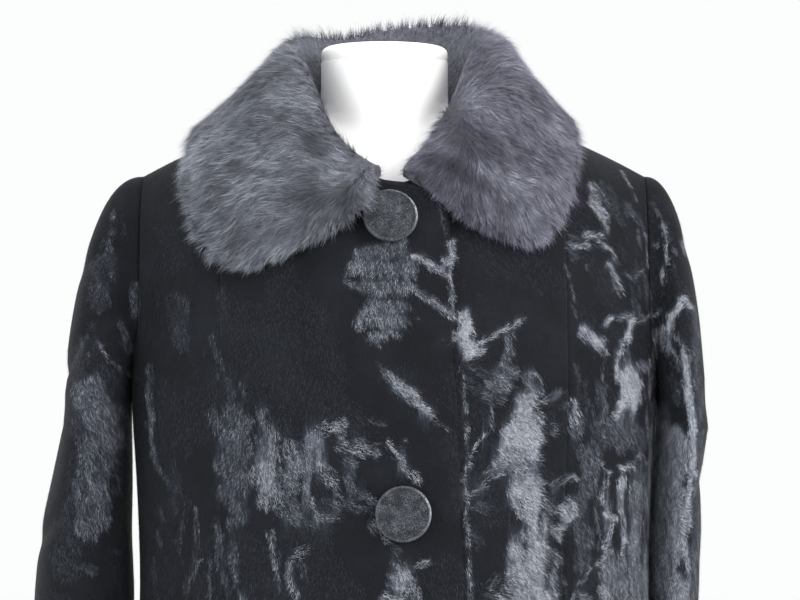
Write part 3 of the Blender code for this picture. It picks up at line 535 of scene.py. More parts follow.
    (444, 356, 447, 362, 2, 0.14, -50), (586, 268, 590, 276, 1, 0.44, 60),
)
print("drifts on the fronts", len(FRONT_DRIFTS))

# %% Drifts along the lap's edge
EDGE_DRIFTS = (      # (px0, py0, px1, py1, half_width, shine, lie)
    (446, 240, 452, 262, 2.2, 0.70, -80), (452, 300, 456, 316, 2.4, 0.70, -80),
    (460, 318, 460, 330, 2, 0.72, -86), (462, 362, 463, 382, 2.2, 0.60, -86),
    (462, 384, 465, 400, 3.2, 0.66, -84), (465, 402, 467, 430, 3, 0.60, -86),
    (466, 432, 467, 446, 1.6, 0.70, -86), (468, 450, 468, 464, 2.2, 0.62, -86),
    (468, 464, 463, 480, 2.2, 0.66, 72), (463, 482, 466, 500, 3.2, 0.56, -80),
    (467, 502, 466, 530, 2.4, 0.56, -86), (466, 532, 468, 560, 2.6, 0.54, -86),
    (468, 562, 469, 600, 3, 0.56, -86), (438, 200, 444, 232, 1.6, 0.40, -75),
)
print("drifts along the lap's edge", len(EDGE_DRIFTS))

# %% Drifts on the sleeves
SLEEVE_DRIFTS = (      # (px0, py0, px1, py1, half_width, shine, lie)
    # wearer's right (picture left)
    (109, 206, 108, 232, 2.2, 0.52, -86), (104, 240, 108, 264, 6, 0.36, -84),
    (108, 262, 112, 276, 4, 0.34, -80), (106, 290, 106, 304, 3, 0.34, -84),
    (132, 282, 134, 310, 5, 0.40, -84), (120, 320, 126, 334, 5, 0.36, -70),
    (124, 336, 128, 350, 4, 0.34, -76), (99, 342, 112, 360, 1.8, 0.62, -55),
    (112, 360, 126, 374, 1.8, 0.58, -48), (126, 374, 138, 378, 1.6, 0.50, -16),
    (82, 366, 96, 376, 8, 0.26, -50), (84, 392, 104, 404, 12, 0.24, -60),
    (80, 424, 96, 428, 12, 0.32, -50), (100, 440, 116, 446, 9, 0.36, -50),
    (84, 442, 96, 452, 8, 0.34, -50), (112, 456, 122, 464, 5, 0.30, -50),
    (92, 480, 108, 488, 9, 0.26, -40), (74, 500, 86, 508, 9, 0.28, -50),
    (64, 520, 80, 536, 8, 0.24, -60), (60, 552, 72, 566, 8, 0.28, -60),
    (84, 562, 96, 568, 5, 0.32, -40), (112, 550, 118, 554, 4, 0.26, -40),
    (50, 590, 66, 596, 8, 0.22, -60), (118, 206, 122, 240, 4, 0.22, -84),
    (96, 350, 90, 330, 6, 0.20, 60),
    # wearer's left (picture right)
    (656, 202, 662, 212, 3, 0.36, -60), (668, 222, 669, 238, 3, 0.76, -86),
    (670, 240, 668, 264, 1.5, 0.62, 86), (665, 268, 665, 280, 3, 0.72, -86),
    (665, 282, 665, 294, 1.2, 0.60, -88), (657, 248, 661, 242, 2, 0.48, 50),
    (684, 240, 688, 250, 2.4, 0.46, -60), (674, 246, 678, 254, 2, 0.40, -60),
    (682, 300, 688, 304, 3.4, 0.72, 20), (680, 306, 672, 318, 3.6, 0.84, 50),
    (670, 320, 669, 330, 3.4, 0.86, 86), (668, 336, 672, 350, 5, 0.62, -70),
    (676, 336, 684, 348, 4, 0.72, -55), (682, 350, 686, 372, 4, 0.74, -82),
    (664, 326, 664, 346, 4, 0.60, -86), (658, 330, 658, 360, 4, 0.56, -86),
    (656, 362, 656, 384, 3.4, 0.54, -86), (674, 354, 680, 368, 5, 0.44, -70),
    (684, 376, 687, 400, 5, 0.78, -84), (688, 402, 690, 430, 4.4, 0.80, -84),
    (690, 432, 692, 470, 4.4, 0.74, -86), (691, 472, 688, 500, 4.4, 0.70, 86),
    (686, 502, 684, 530, 5.5, 0.58, 86), (684, 532, 688, 560, 6, 0.52, -84),
    (690, 562, 694, 596, 5, 0.58, -80), (664, 400, 668, 412, 2, 0.46, -60),
    (660, 404, 664, 416, 2, 0.46, -60), (668, 544, 674, 560, 1.2, 0.52, -76),
    (658, 428, 656, 440, 1.6, 0.40, -86), (672, 376, 676, 400, 4, 0.30, -80),
    (662, 380, 662, 392, 1.6, 0.52, -60),
)
print("drifts on the sleeves", len(SLEEVE_DRIFTS))

# %% Painted haze: broad pale strokes
PAINTED_HAZE = (      # (px0, py0, px1, py1, half_width, shine, lie)
    # Not nap: these paint a pale glow from the bright surroundings over the sleeves, the sides and
    # round the armhole, a painted highlight. Their lie still steers the hairs.
    (668, 440, 670, 600, 20, 0.70, -84), (694, 310, 700, 600, 7, 0.42, -84),
    (662, 404, 664, 436, 9, 0.55, -80), (625, 348, 624, 370, 14, 0.34, -80),
    (606, 424, 640, 440, 18, 0.42, -70), (602, 384, 606, 440, 9, 0.38, -80),
    (634, 484, 636, 600, 9, 0.58, -86), (612, 566, 640, 600, 18, 0.56, -80),
    (674, 266, 684, 292, 9, 0.26, -70), (636, 292, 640, 264, 11, 0.28, -80),
    (590, 450, 588, 486, 14, 0.46, -80), (578, 500, 584, 560, 12, 0.40, -80),
    (92, 388, 112, 436, 20, 0.50, -70), (98, 446, 94, 520, 18, 0.48, -75),
    (92, 264, 100, 300, 12, 0.34, -80), (84, 340, 82, 400, 9, 0.34, -84),
    (104, 380, 70, 560, 22, 0.26, -80), (160, 392, 186, 440, 18, 0.20, -80),
    (170, 470, 180, 500, 14, 0.24, -70), (176, 300, 180, 340, 12, 0.28, -80),
    (628, 374, 631, 398, 11, 1.0, -60), (622, 402, 640, 380, 7, 1.0, -60),
    (614, 412, 626, 400, 5, 0.8, -50),
)
print("broad faint drifts", len(PAINTED_HAZE))

# %% From the picture to the coat
PIXEL_MM, CHEST_Y, CHEST_FAR = 0.83, -0.135, 1.75   # a pixel's span, there; how far it is
MIDDLE_PX, MIDDLE_PY, MIDDLE_Z = 394, 300, 1.2257   # the picture's middle on the coat
CHEST_HALF, CHEST_POWER = 0.234, 2.4    # half the chest's width, and how square its curve is
CHEST_TOP, SHOULDER_RISE, SHOULDER_DEPTH, SHOULDER_BACK = 1.2, 0.17, 0.35, 0.65
SLEEVE_Y, SLEEVE_PX = -0.055, 235       # the sleeves' front; where they start, from the middle


def from_picture(rows, depth):
    """Strokes set in pixels, in metres on a plane at a depth: a pixel's span grows with its
    distance from the camera. Places are rounded to 1 mm and half-widths to 0.1 mm."""
    strokes = np.array(rows, dtype=float)
    span = PIXEL_MM * (1 + (depth - CHEST_Y) / CHEST_FAR) / 1000
    for column in (0, 2):
        strokes[:, column] = np.round((strokes[:, column] - MIDDLE_PX) * span, 3)
        strokes[:, column + 1] = np.round(
            MIDDLE_Z + (MIDDLE_PY - strokes[:, column + 1]) * span, 3)
    strokes[:, 4] = np.round(strokes[:, 4] * span, 4)
    return strokes


def chest_depth(rows):
    """Where the front stands behind a stroke's middle: a rounded square that flattens towards
    the sides, and leans back above the chest."""
    strokes = np.array(rows, dtype=float)
    x = np.abs((strokes[:, 0] + strokes[:, 2]) / 2 - MIDDLE_PX) * PIXEL_MM / 1000
    z = MIDDLE_Z + (MIDDLE_PY - (strokes[:, 1] + strokes[:, 3]) / 2) * PIXEL_MM / 1000
    depth = CHEST_Y * np.maximum(0.0, 1 - (x / CHEST_HALF) ** CHEST_POWER) ** 0.5
    lean = 1 - ((z - CHEST_TOP) / SHOULDER_RISE) ** 2 * SHOULDER_BACK
    return depth * np.where(z < CHEST_TOP, 1.0, np.maximum(SHOULDER_DEPTH, lean))


def brighter(strokes, which, times):
    """Strokes with the shine of some of them raised, up to 1 and rounded to hundredths."""
    strokes = np.array(strokes, dtype=float)
    shines = strokes[which, 5].tolist()
    strokes[which, 5] = [round(min(1, shine * times), 2) for shine in shines]
    return strokes


# %% The drifts on the coat
# More painted sheen on the drift under the top button and on the sleeve on the picture's right.
LEAF_BOX, LEAF_TIMES = (350, 235, 418, 345), 1.25   # the drift under the top button, in pixels
ARM_FROM_PX, ARM_TIMES = 600, 1.12      # the sleeve on the picture's right
fronts, arms, painted_haze = np.array(FRONT_DRIFTS), np.array(SLEEVE_DRIFTS), np.array(PAINTED_HAZE)
in_leaf = ((fronts[:, 0] > LEAF_BOX[0]) & (fronts[:, 0] < LEAF_BOX[2])
           & (fronts[:, 1] > LEAF_BOX[1]) & (fronts[:, 1] < LEAF_BOX[3]))
fronts = brighter(fronts, in_leaf, LEAF_TIMES)
arms = brighter(arms, arms[:, 0] > ARM_FROM_PX, ARM_TIMES)
on_sleeve = np.abs((painted_haze[:, 0] + painted_haze[:, 2]) / 2 - MIDDLE_PX) > SLEEVE_PX
DRIFTS = np.concatenate([
    from_picture(fronts, chest_depth(fronts)),
    from_picture(EDGE_DRIFTS, chest_depth(EDGE_DRIFTS)), from_picture(arms, SLEEVE_Y),
    from_picture(painted_haze, np.where(on_sleeve, SLEEVE_Y, chest_depth(painted_haze)))])
print("drifts", len(DRIFTS))

# %% The nap's painted sheen and its lie
SEEN_LOW, SEEN_BACK = 0.965, 0.010      # the photograph's lower edge; how far round it sees
EDGE_ROUGH = 1.2        # share of a stroke's half-width that noise moves its edge
EDGE_NOISE = 0.018      # size of that noise
STREAK_SIZE, STREAK_DRAWN = 0.0017, 5   # fine streaks: across the hairs, times longer along
STREAK_SHIFT = 0.005    # how far a streak moves a stroke's edge
HALO_WIDTHS, HALO_MORE, HALO_SHINE = 2.2, 0.006, 0.36   # faint painted sheen round a stroke
HIDDEN_SIZE, HIDDEN_SHEAR = 0.050, (0.35, 0, -0.30)     # the invented drifts' size and slant
PATCH_SHINE, VEIN_SHINE, FAINT_SHINE = 0.64, 0.58, 0.20
BORDER_WANDER = 0.09    # how far the border between seen and invented drifts strays


def hidden_drifts(spots, grain):
    """Broad noise, and the painted sheen that it makes out of the photograph's sight.

    Patches are where sheared noise is high.  Veins run where a second noise crosses its own
    middle, near the patches.  Fine streaks break both.
    """
    sheared = spots + spots[:, 2:] * np.array(HIDDEN_SHEAR)
    drift = layered_noise(sheared, HIDDEN_SIZE, 4, 3.1)
    fine = 0.5 + grain * (value_noise(sheared * np.array([1, 1, 0.35]), 0.0020, 2.2) - 0.5)
    branch = np.abs(layered_noise(sheared * np.array([1, 1, 0.8]), 0.045, 3, 8.8) - 0.5)
    vein = VEIN_SHINE * ease(1.3 - branch / 0.020) * ease((drift - 0.43) / 0.06)
    patch = PATCH_SHINE * ease((drift - 0.53 + 0.12 * (fine - 0.5)) / 0.07)
    return drift, np.maximum(patch, vein) * (0.45 + 0.95 * fine)


def in_sight(spots):
    """1 where the photograph shows the cloth, 0 below it and behind, with a ragged border."""
    wander = BORDER_WANDER * value_noise(spots, 0.030, 1.7)
    above = ease((spots[:, 2] + wander - SEEN_LOW) / 0.02 + 1)
    return above * ease((SEEN_BACK + wander - spots[:, 1]) / 0.03)


def nap(points, grain=1.0):
    """Painted sheen (0 to 1) and lie (radians) of the nap.

    Each stroke shines by 1 minus the distance from its line past its half-width, over a soft
    edge.  Broad noise moves the edge, and so does fine noise drawn out along the stroke's own
    hairs, which also breaks it into bright and dark locks.  The brightest stroke wins, and the
    lie is their average.  The points are sorted by height, so a stroke meets only its own.
    Coarse grids take less `grain`, the share of the fine streaks.
    """
    flat = points.reshape(-1, 3)
    order = np.argsort(flat[:, 2])
    spots = flat[order]
    x, z = spots[:, 0], spots[:, 2]
    rough = layered_noise(spots, EDGE_NOISE, 3) - 0.5
    shine, lean, weight = np.zeros_like(x), np.full_like(x, -1.4e-4), np.full_like(x, 1e-4)
    for x0, z0, x1, z1, half, strength, lie in DRIFTS:
        margin = HALO_WIDTHS * half + HALO_MORE
        first, last = np.searchsorted(z, (min(z0, z1) - margin, max(z0, z1) + margin))
        at, up = x[first:last], z[first:last]
        run, rise = x1 - x0, z1 - z0
        along = ((at - x0) * run + (up - z0) * rise) / (run * run + rise * rise + 1e-9)
        along = np.clip(along, 0, 1)
        away = np.hypot(at - x0 - along * run, up - z0 - along * rise)
        near = np.flatnonzero(away < margin)
        away, near = away[near], near + first
        cosine, sine = math.cos(math.radians(lie)), math.sin(math.radians(lie))
        here = spots[near]
        combed = np.stack([(here[:, 0] * cosine + here[:, 2] * sine) / STREAK_DRAWN,
                           here[:, 2] * cosine - here[:, 0] * sine,
                           here[:, 1] / STREAK_DRAWN], axis=-1)
        streak = grain * (value_noise(combed, STREAK_SIZE, 4.0) - 0.5)
        reach = half * (1 + EDGE_ROUGH * rough[near]) + STREAK_SHIFT * streak - away
        inside = ease(reach / (0.003 + 0.45 * half) + 0.45)
        halo = HALO_SHINE * ease(1 - away / margin)
        glow = strength * np.maximum(inside * (1 + 0.8 * streak), halo)
        shine[near] = np.maximum(shine[near], glow)
        lean[near] += inside * math.radians(lie)
        weight[near] += inside
    drift, hidden = hidden_drifts(spots, grain)
    seen = in_sight(spots)
    faint = FAINT_SHINE * ease((drift - 0.46) / 0.12)
    shine = np.maximum(shine, faint * seen + hidden * (1 - seen))
    swirl = (value_noise(spots, 0.07, 5.0) - 0.5) * 1.6
    result = np.empty((2, len(flat)))
    result[0, order] = np.clip(shine, 0, 1)
    result[1, order] = lean / weight + swirl * 0.5
    return result.reshape((2,) + points.shape[:-1])


print("shine at the second button", round(float(nap(np.array([[0.0083, -0.13, 1.049]]))[0, 0]), 2))

# %% [markdown]
# ## Making meshes from arrays
# A panel is a fine grid of points with an inner grid a wall's thickness behind it, closed
# round the rim. A modifier could thicken it, but here each point also needs its nap. Hair is
# made the same way: a straight hair is one triangle and a bent one is three, and all of a
# piece's hairs are one array. Each hair keeps a tone and its root-to-tip share as a UV map,
# so a material can colour it along its length.

# %% Mesh builders
def make_mesh(name, points, faces, material, attributes=None, uv=None, normals=None):
    """A piece from an array of points and an array of faces with equal corner counts."""
    points = np.ascontiguousarray(points, np.float32)
    count, corners = faces.shape
    mesh = bpy.data.meshes.new(name)
    mesh.vertices.add(len(points))
    mesh.vertices.foreach_set("co", points.ravel())
    mesh.loops.add(count * corners)
    mesh.loops.foreach_set("vertex_index", faces.astype(np.int32).ravel())
    mesh.polygons.add(count)
    mesh.polygons.foreach_set("loop_start", np.arange(0, count * corners, corners, dtype=np.int32))
    mesh.update(calc_edges=True)
    mesh.shade_smooth()
    for key, values in (attributes or {}).items():
        layer = mesh.attributes.new(key, "FLOAT", "POINT")
        layer.data.foreach_set("value", np.ascontiguousarray(values, np.float32).ravel())
    if uv is not None:
        layer = mesh.uv_layers.new(name="OFBake")
        layer.data.foreach_set("uv", uv[faces.ravel()].astype(np.float32).ravel())
    if normals is not None:
        mesh.normals_split_custom_set_from_vertices(normals.astype(np.float32))
    mesh.materials.append(material)
    thing = bpy.data.objects.new(name, mesh)
    bpy.context.scene.collection.objects.link(thing)
    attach(thing, "root")
    return thing


def quad_grid(rows, columns, wrap=False, start=0, flip=False):
    """Corner numbers of a grid's quads."""
    steps = columns if wrap else columns - 1
    row, column = np.meshgrid(np.arange(rows - 1), np.arange(steps), indexing="ij")
    a = start + row * columns + column
    b = start + row * columns + (column + 1) % columns
    quads = np.stack([a, b, b + columns, a + columns], axis=-1).reshape(-1, 4)
    return quads[:, ::-1] if flip else quads


def strip(first, second):
    """Quads between two lists of corner numbers."""
    return np.stack([first[:-1], first[1:], second[1:], second[:-1]], axis=-1)


def shell_faces(rows, columns, wrap=False):
    """Faces of an outer grid, its inner grid and the rim between them."""
    half = rows * columns
    outer = quad_grid(rows, columns, wrap)
    inner = quad_grid(rows, columns, wrap, half, True)
    index = np.arange(half).reshape(rows, columns)
    around = np.concatenate([index, index[:, :1]], axis=1) if wrap else index
    parts = [outer, inner, strip(around[0] + half, around[0]), strip(around[-1], around[-1] + half)]
    if not wrap:
        parts += [strip(index[:, 0], index[:, 0] + half),
                  strip(index[:, -1] + half, index[:, -1])]
    return np.concatenate(parts)


def enclosed(points, faces):
    """Signed volume: the sum over triangles of corner dot (corner cross corner), over six."""
    a, b, c, d = (points[faces[:, i]] for i in range(4))
    return float(np.sum(a * np.cross(b, c)) + np.sum(a * np.cross(c, d))) / 6


# %% A wall of cloth
CLOTH_GRAIN = 0.25      # share of the nap's fine streaks that a panel's grid can show


def cloth(name, outer, inner, material, wrap=False):
    """A closed wall of cloth, faces outward, with the nap's painted sheen on every point."""
    rows, columns = outer.shape[:2]
    points = np.concatenate([outer.reshape(-1, 3), inner.reshape(-1, 3)])
    faces = shell_faces(rows, columns, wrap)
    if enclosed(points, faces) < 0:
        faces = faces[:, ::-1]
    shine = nap(points, CLOTH_GRAIN)[0]
    thing = make_mesh(name, points, faces, material, {"shine": shine})
    area = float(np.sum(cell_areas(outer)))
    print(f"{name}: {len(faces) * 2} triangles, {area:.3f} m2 of cloth")
    return thing


# %% Areas and random places on a grid
def cell_areas(grid):
    """Area of each cell: half the length of its diagonals' cross product."""
    one = grid[1:, 1:] - grid[:-1, :-1]
    two = grid[1:, :-1] - grid[:-1, 1:]
    return 0.5 * np.linalg.norm(np.cross(one, two), axis=-1)


def scatter(grid, normals, count, rng):
    """Random places on a grid, as many to each area: points, normals and grid places."""
    areas = cell_areas(grid).ravel()
    cells = rng.choice(len(areas), count, p=areas / areas.sum())
    row, column = np.divmod(cells, grid.shape[1] - 1)
    s, t = rng.random(count)[:, None], rng.random(count)[:, None]

    def blend(values):
        low = values[row, column] * (1 - t) + values[row, column + 1] * t
        high = values[row + 1, column] * (1 - t) + values[row + 1, column + 1] * t
        return low * (1 - s) + high * s

    where = np.stack([row + s[:, 0], column + t[:, 0]], axis=-1)
    return blend(grid), unit(blend(normals)), where


# %% Hairs as ribbons
def blades(roots, ahead, above, lengths, widths, rise, bend, steps):
    """Hairs as tapering ribbons of `steps` lengths, the last one a point.

    Each starts at an angle `rise` off the cloth and bends by `bend` towards it along its
    length: the direction at share s is the flow times the cosine plus the normal times the
    sine of rise + bend * s.  Returns points, triangles, each point's share along its hair and
    the number of points in a hair.
    """
    side = unit(np.cross(ahead, above))
    at = roots.copy()
    rings, shares = [], []
    for step in range(steps + 1):
        share = step / steps
        half = widths[:, None] * 0.5 * (1 - share) ** 0.6
        if step < steps:
            rings += [at - side * half, at + side * half]
            shares += [share, share]
        else:
            rings.append(at)
            shares.append(share)
        angle = (rise + bend * (share + 0.5 / steps))[:, None]
        at = at + (np.cos(angle) * ahead + np.sin(angle) * above) * lengths[:, None] / steps
    points = np.stack(rings, axis=1)
    per = points.shape[1]
    pattern = []
    for step in range(steps - 1):
        a = 2 * step
        pattern += [(a, a + 1, a + 3), (a, a + 3, a + 2)]
    pattern.append((per - 3, per - 2, per - 1))
    faces = (np.arange(len(roots))[:, None, None] * per + np.array(pattern)[None]).reshape(-1, 3)
    along = np.broadcast_to(np.array(shares), (len(roots), per))
    return points.reshape(-1, 3), faces, along.ravel(), per


# %% [markdown]
# ## The short pile
# Seen close, the cloth is a mat of flat-lying hairs 4 to 5 mm long. The base is nearly black
# with a soft sheen, painted grey in the drifts. Over it lie hairs of real geometry: sparse and
# black between the drifts, dense and silver in them, where the sheen is painted into their
# colour. A hair system would be quicker to set up, but its strands are no mesh, and a mesh
# opens in any program.

# %% Materials of the short pile
def pile_cloth():
    """The mat under the hairs: black, streaked grey with painted sheen in the drifts."""
    s = Shader("pile_cloth", Roughness=0.7, Specular_IOR_Level=0.10, Sheen_Weight=0.05,
               Sheen_Roughness=0.35)
    streak = s.noise(1.0, 4.0, 0.6, s.place((900, 900, 160)))
    fleck = s.noise(420.0, 2.0)
    # The shine attribute is the drifts' painted sheen.
    shine = s.attribute("shine")
    broad = s.noise(22.0, 3.0)
    ragged = ((shine + (streak - 0.5) * 0.7 + (fleck - 0.5) * 0.3 - 0.22) * 2.4).clamp()
    amount = (ragged * shine * (0.5 + 1.1 * streak) + (broad - 0.45) * 0.30).clamp()
    colour = s.ramp(amount, ((0.0, (0.0062, 0.0073, 0.0100)), (0.35, (0.022, 0.026, 0.034)),
                             (0.70, (0.090, 0.099, 0.122)), (1.0, (0.270, 0.290, 0.330))))
    return s.feed(Base_Color=colour, Normal=s.bump(streak + fleck * 0.6, 0.7, 0.0012))


def pile_hair():
    """Short hairs: tone across the map's width, root to tip up its height."""
    s = Shader("pile_hair", Roughness=0.5, Specular_IOR_Level=0.12)
    tone, along = s.strand()
    amount = (tone * (0.55 + 0.65 * along)).clamp()
    colour = s.ramp(amount, ((0.0, (0.0065, 0.0076, 0.0105)), (0.25, (0.024, 0.027, 0.036)),
                             (0.55, (0.118, 0.131, 0.163)), (1.0, (0.68, 0.71, 0.77))))
    return s.feed(Base_Color=colour)


PILE_CLOTH, PILE_HAIR = pile_cloth(), pile_hair()

# %% [markdown]
# ## The body's panels
# Two fronts that lap, two side fronts and a back. Each panel is a grid of turns and levels.
# Its rows run from the hem to its own top: the lap's straight edge, the neckline or the
# shoulder seam. The photograph shows soft dents where the weight of the cloth drags, so the
# grids are pushed in or out along a few listed creases. Simulated cloth would drape by
# itself, but patches of one formula meet exactly at the seams and keep to the solids.

# %% Panels
ROWS_LOW, ROWS_HIGH = 30, 38
CREASES = (     # (x, y_side, z0, z1, half_width, depth) y_side: -1 front, 1 back
    (-0.200, -1, 1.02, 1.30, 0.014, -0.0030),
    (0.205, -1, 1.04, 1.28, 0.012, -0.0026),
    (-0.120, -1, 0.60, 1.02, 0.020, -0.0030),
    (0.096, -1, 0.55, 0.98, 0.018, 0.0026),
    (-0.060, -1, 0.90, 1.16, 0.016, -0.0018),
    (0.172, -1, 0.62, 1.05, 0.016, -0.0030),
    (-0.168, 1, 0.70, 1.30, 0.018, -0.0032),
    (0.160, 1, 0.62, 1.26, 0.020, -0.0028),
    (-0.050, 1, 0.50, 1.05, 0.022, 0.0030),
    (0.060, 1, 0.58, 1.10, 0.024, -0.0026),
)

print("creases", len(CREASES))


# %% Dents and rows
def creased(points, normals):
    """Move points along their normals by each crease's depth, fading past its width and ends."""
    x, y, z = points[..., 0], points[..., 1], points[..., 2]
    push = (layered_noise(points, 0.09, 2, 9.0) - 0.5) * 0.0016
    for at, face, low, high, half, depth in CREASES:
        wander = at + 0.010 * np.sin(z * 17 + at * 40)
        across = np.exp(-((x - wander) / half) ** 2)
        along = ease((z - low) / 0.07) * ease((high - z) / 0.07)
        push = push + depth * across * along * (face * y > 0)
    return points + normals * push[..., None]


def panel_levels(top_arch):
    """Rows from the hem to each column's own top."""
    body = np.linspace(HEM_Z - CHEST_Z, 0, ROWS_LOW + 1)[:-1]
    high = np.linspace(0, 1, ROWS_HIGH + 1)[:, None] * top_arch[None, :]
    return np.concatenate([np.repeat(body[:, None], len(top_arch), axis=1), high])


def inset(grid, first=True):
    """Draw the sides and top back by half a seam's gap."""
    grid = grid.copy()
    if first:
        grid[:, 0] += unit(grid[:, 1] - grid[:, 0]) * GAP * 0.6
    grid[:, -1] += unit(grid[:, -2] - grid[:, -1]) * GAP * 0.6
    grid[-1] += unit(grid[-2] - grid[-1]) * GAP * 0.6
    return grid


# %% The fronts
def front_top(turns):
    """Arch angle of a front panel's top edge: lap, neckline, then shoulder seam."""
    x = CHEST_HALF * ring_x(turns)
    height = np.where(x < 0, NECK_Z - NECK_DROP - LAP_TOP_FALL * np.abs(x), neckline_z(x))
    return np.where(turns >= NECK_TURN - 1e-6, SIDE, arch_at(np.abs(turns), height))


def front_grid(side):
    """Outer points and normals of a front; side is -1 for the lapping right front."""
    columns = np.concatenate([-np.linspace(1, 0, 19)[:-1],
                              NECK_TURN * np.sin(np.linspace(0, SIDE, 26)),
                              np.linspace(NECK_TURN, PRINCESS_TURN, 22)[1:]])
    top = front_top(columns)
    levels = panel_levels(top)
    turns = np.repeat(columns[None, :], len(levels), axis=0)
    height = coat_point(turns, levels)[..., 2]
    lean = np.clip(EDGE_X_TOP + EDGE_LEAN * (NECK_Z - NECK_DROP - height), 0, EDGE_X_MAX)
    wave = 0.0009 * np.sin(height * 95) + 0.0006 * np.sin(height * 41 + 1)
    reach = lean + wave if side < 0 else np.full_like(lean, UNDER_EDGE_X)
    edge = -ring_turn(reach / spline(BODY_LEVELS, 1, np.minimum(height, CHEST_Z)))
    turns = np.where(columns < 0, -columns[None, :] * edge, turns)
    levels = panel_levels(np.where(columns < 0, front_top(turns[-1]), top))
    normal = coat_normal(side * turns, levels)
    outer = coat_point(side * turns, levels)
    if side < 0:
        outer = outer + normal * lap_lift(outer[..., 0])[..., None]
    return inset(outer, first=False), normal


# %% The side fronts and the back
def side_columns(low, levels_high):
    """Columns between a seam and the armhole's edge on each arch row."""
    share = (low - low[0]) / (low[-1] - low[0])
    body = np.repeat(low[None, :], ROWS_LOW, axis=0)
    return np.concatenate([body, low[0] + share * (side_turn(levels_high)[:, None] - low[0])])


ARCH_ROWS = SIDE * np.linspace(0, 1, ROWS_HIGH + 1)
SIDE_COLUMNS = side_columns(np.linspace(PRINCESS_TURN, SIDE, 32), ARCH_ROWS)


def side_grid(side):
    """Outer points and normals of a side front."""
    levels = panel_levels(np.full(SIDE_COLUMNS.shape[1], SIDE))
    normal = coat_normal(side * SIDE_COLUMNS, levels)
    return inset(coat_point(side * SIDE_COLUMNS, levels)), normal


def back_grid():
    """Outer points and normals of the back, from the wearer's left to the right."""
    middle = np.concatenate([np.linspace(NECK_TURN, PRINCESS_TURN, 12)[-2:0:-1],
                             NECK_TURN * np.cos(np.linspace(0, SIDE, 16))])
    half = np.concatenate([SIDE_COLUMNS[:, ::-1],
                           np.repeat(middle[None, :], len(SIDE_COLUMNS), axis=0)], axis=1)
    x = CHEST_HALF * ring_x(half[-1])
    nape = arch_at(math.pi - half[-1], neckline_z(x, back=True))
    top = np.where(x < NECK_HALF - 1e-6, nape, SIDE)
    turns = np.concatenate([math.pi - half, (half - math.pi)[:, -2::-1]], axis=1)
    levels = panel_levels(np.concatenate([top, top[-2::-1]]))
    return inset(coat_point(turns, levels)), coat_normal(turns, levels)


# %% The five panels
PANELS = {
    "front_right": front_grid(-1),
    "front_left": front_grid(1),
    "side_front_right": side_grid(-1),
    "side_front_left": side_grid(1),
    "back": back_grid(),
}
grids, sheets = {}, {}
for solid, (outer, normal) in PANELS.items():
    formed = creased(outer, normal)
    grids[solid] = (formed, normal)
    sheets[solid] = cloth(f"{solid}_cloth", formed, formed - normal * WALL, PILE_CLOTH)
    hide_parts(solid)

# %% [markdown]
# ## Sleeves
# A sleeve starts as the armhole's ring and fans out round the underarm until it is level,
# then hangs as a flattened tube. The two differ: one swings clear of the body, the other
# hangs against it and a little behind. A tube along a curve would leave a gap at the cap;
# starting from the armhole's own points closes the seam.

# %% Sleeves
CAP_POWER = 0.84
SLEEVES = {             # (height, centre_x, centre_y, half_width, half_depth)
    "right": (
        (1.115, 0.2645, 0.000, 0.0295, 0.075),
        (1.070, 0.2690, 0.000, 0.0345, 0.072),
        (1.019, 0.2745, -0.002, 0.0395, 0.069),
        (0.956, 0.2765, -0.004, 0.0440, 0.066),
        (0.860, 0.2830, -0.006, 0.0440, 0.064),
        (0.765, 0.2920, -0.008, 0.0450, 0.062),
    ),
    "left": (
        (1.115, 0.2570, 0.005, 0.0215, 0.079),
        (1.070, 0.2535, 0.018, 0.0215, 0.079),
        (1.019, 0.2525, 0.034, 0.0250, 0.079),
        (0.956, 0.2510, 0.044, 0.0260, 0.078),
        (0.860, 0.2590, 0.048, 0.0280, 0.073),
        (0.765, 0.2690, 0.050, 0.0320, 0.067),
    ),
}
SLEEVE_CREASES = (      # (side, height, turn_deg, slope, half_height, depth)
    (-1, 1.270, 60, 0.30, 0.012, -0.0035),
    (-1, 1.175, 40, 0.55, 0.010, -0.0045),
    (-1, 1.105, 75, -0.35, 0.014, -0.0030),
    (-1, 1.030, 45, 0.45, 0.012, -0.0035),
    (-1, 0.930, 80, -0.30, 0.013, -0.0030),
    (-1, 0.850, 280, 0.35, 0.014, -0.0030),
    (-1, 1.120, 290, 0.35, 0.014, -0.0035),
    (1, 1.255, 55, -0.35, 0.012, -0.0035),
    (1, 1.160, 70, 0.40, 0.012, -0.0035),
    (1, 1.060, 50, -0.30, 0.012, -0.0030),
    (1, 0.960, 60, 0.35, 0.013, -0.0030),
    (1, 1.080, 285, -0.35, 0.014, -0.0035),
    (1, 0.870, 300, 0.30, 0.013, -0.0030),
)

print("sleeve rings", len(SLEEVES["right"]), "and creases", len(SLEEVE_CREASES))


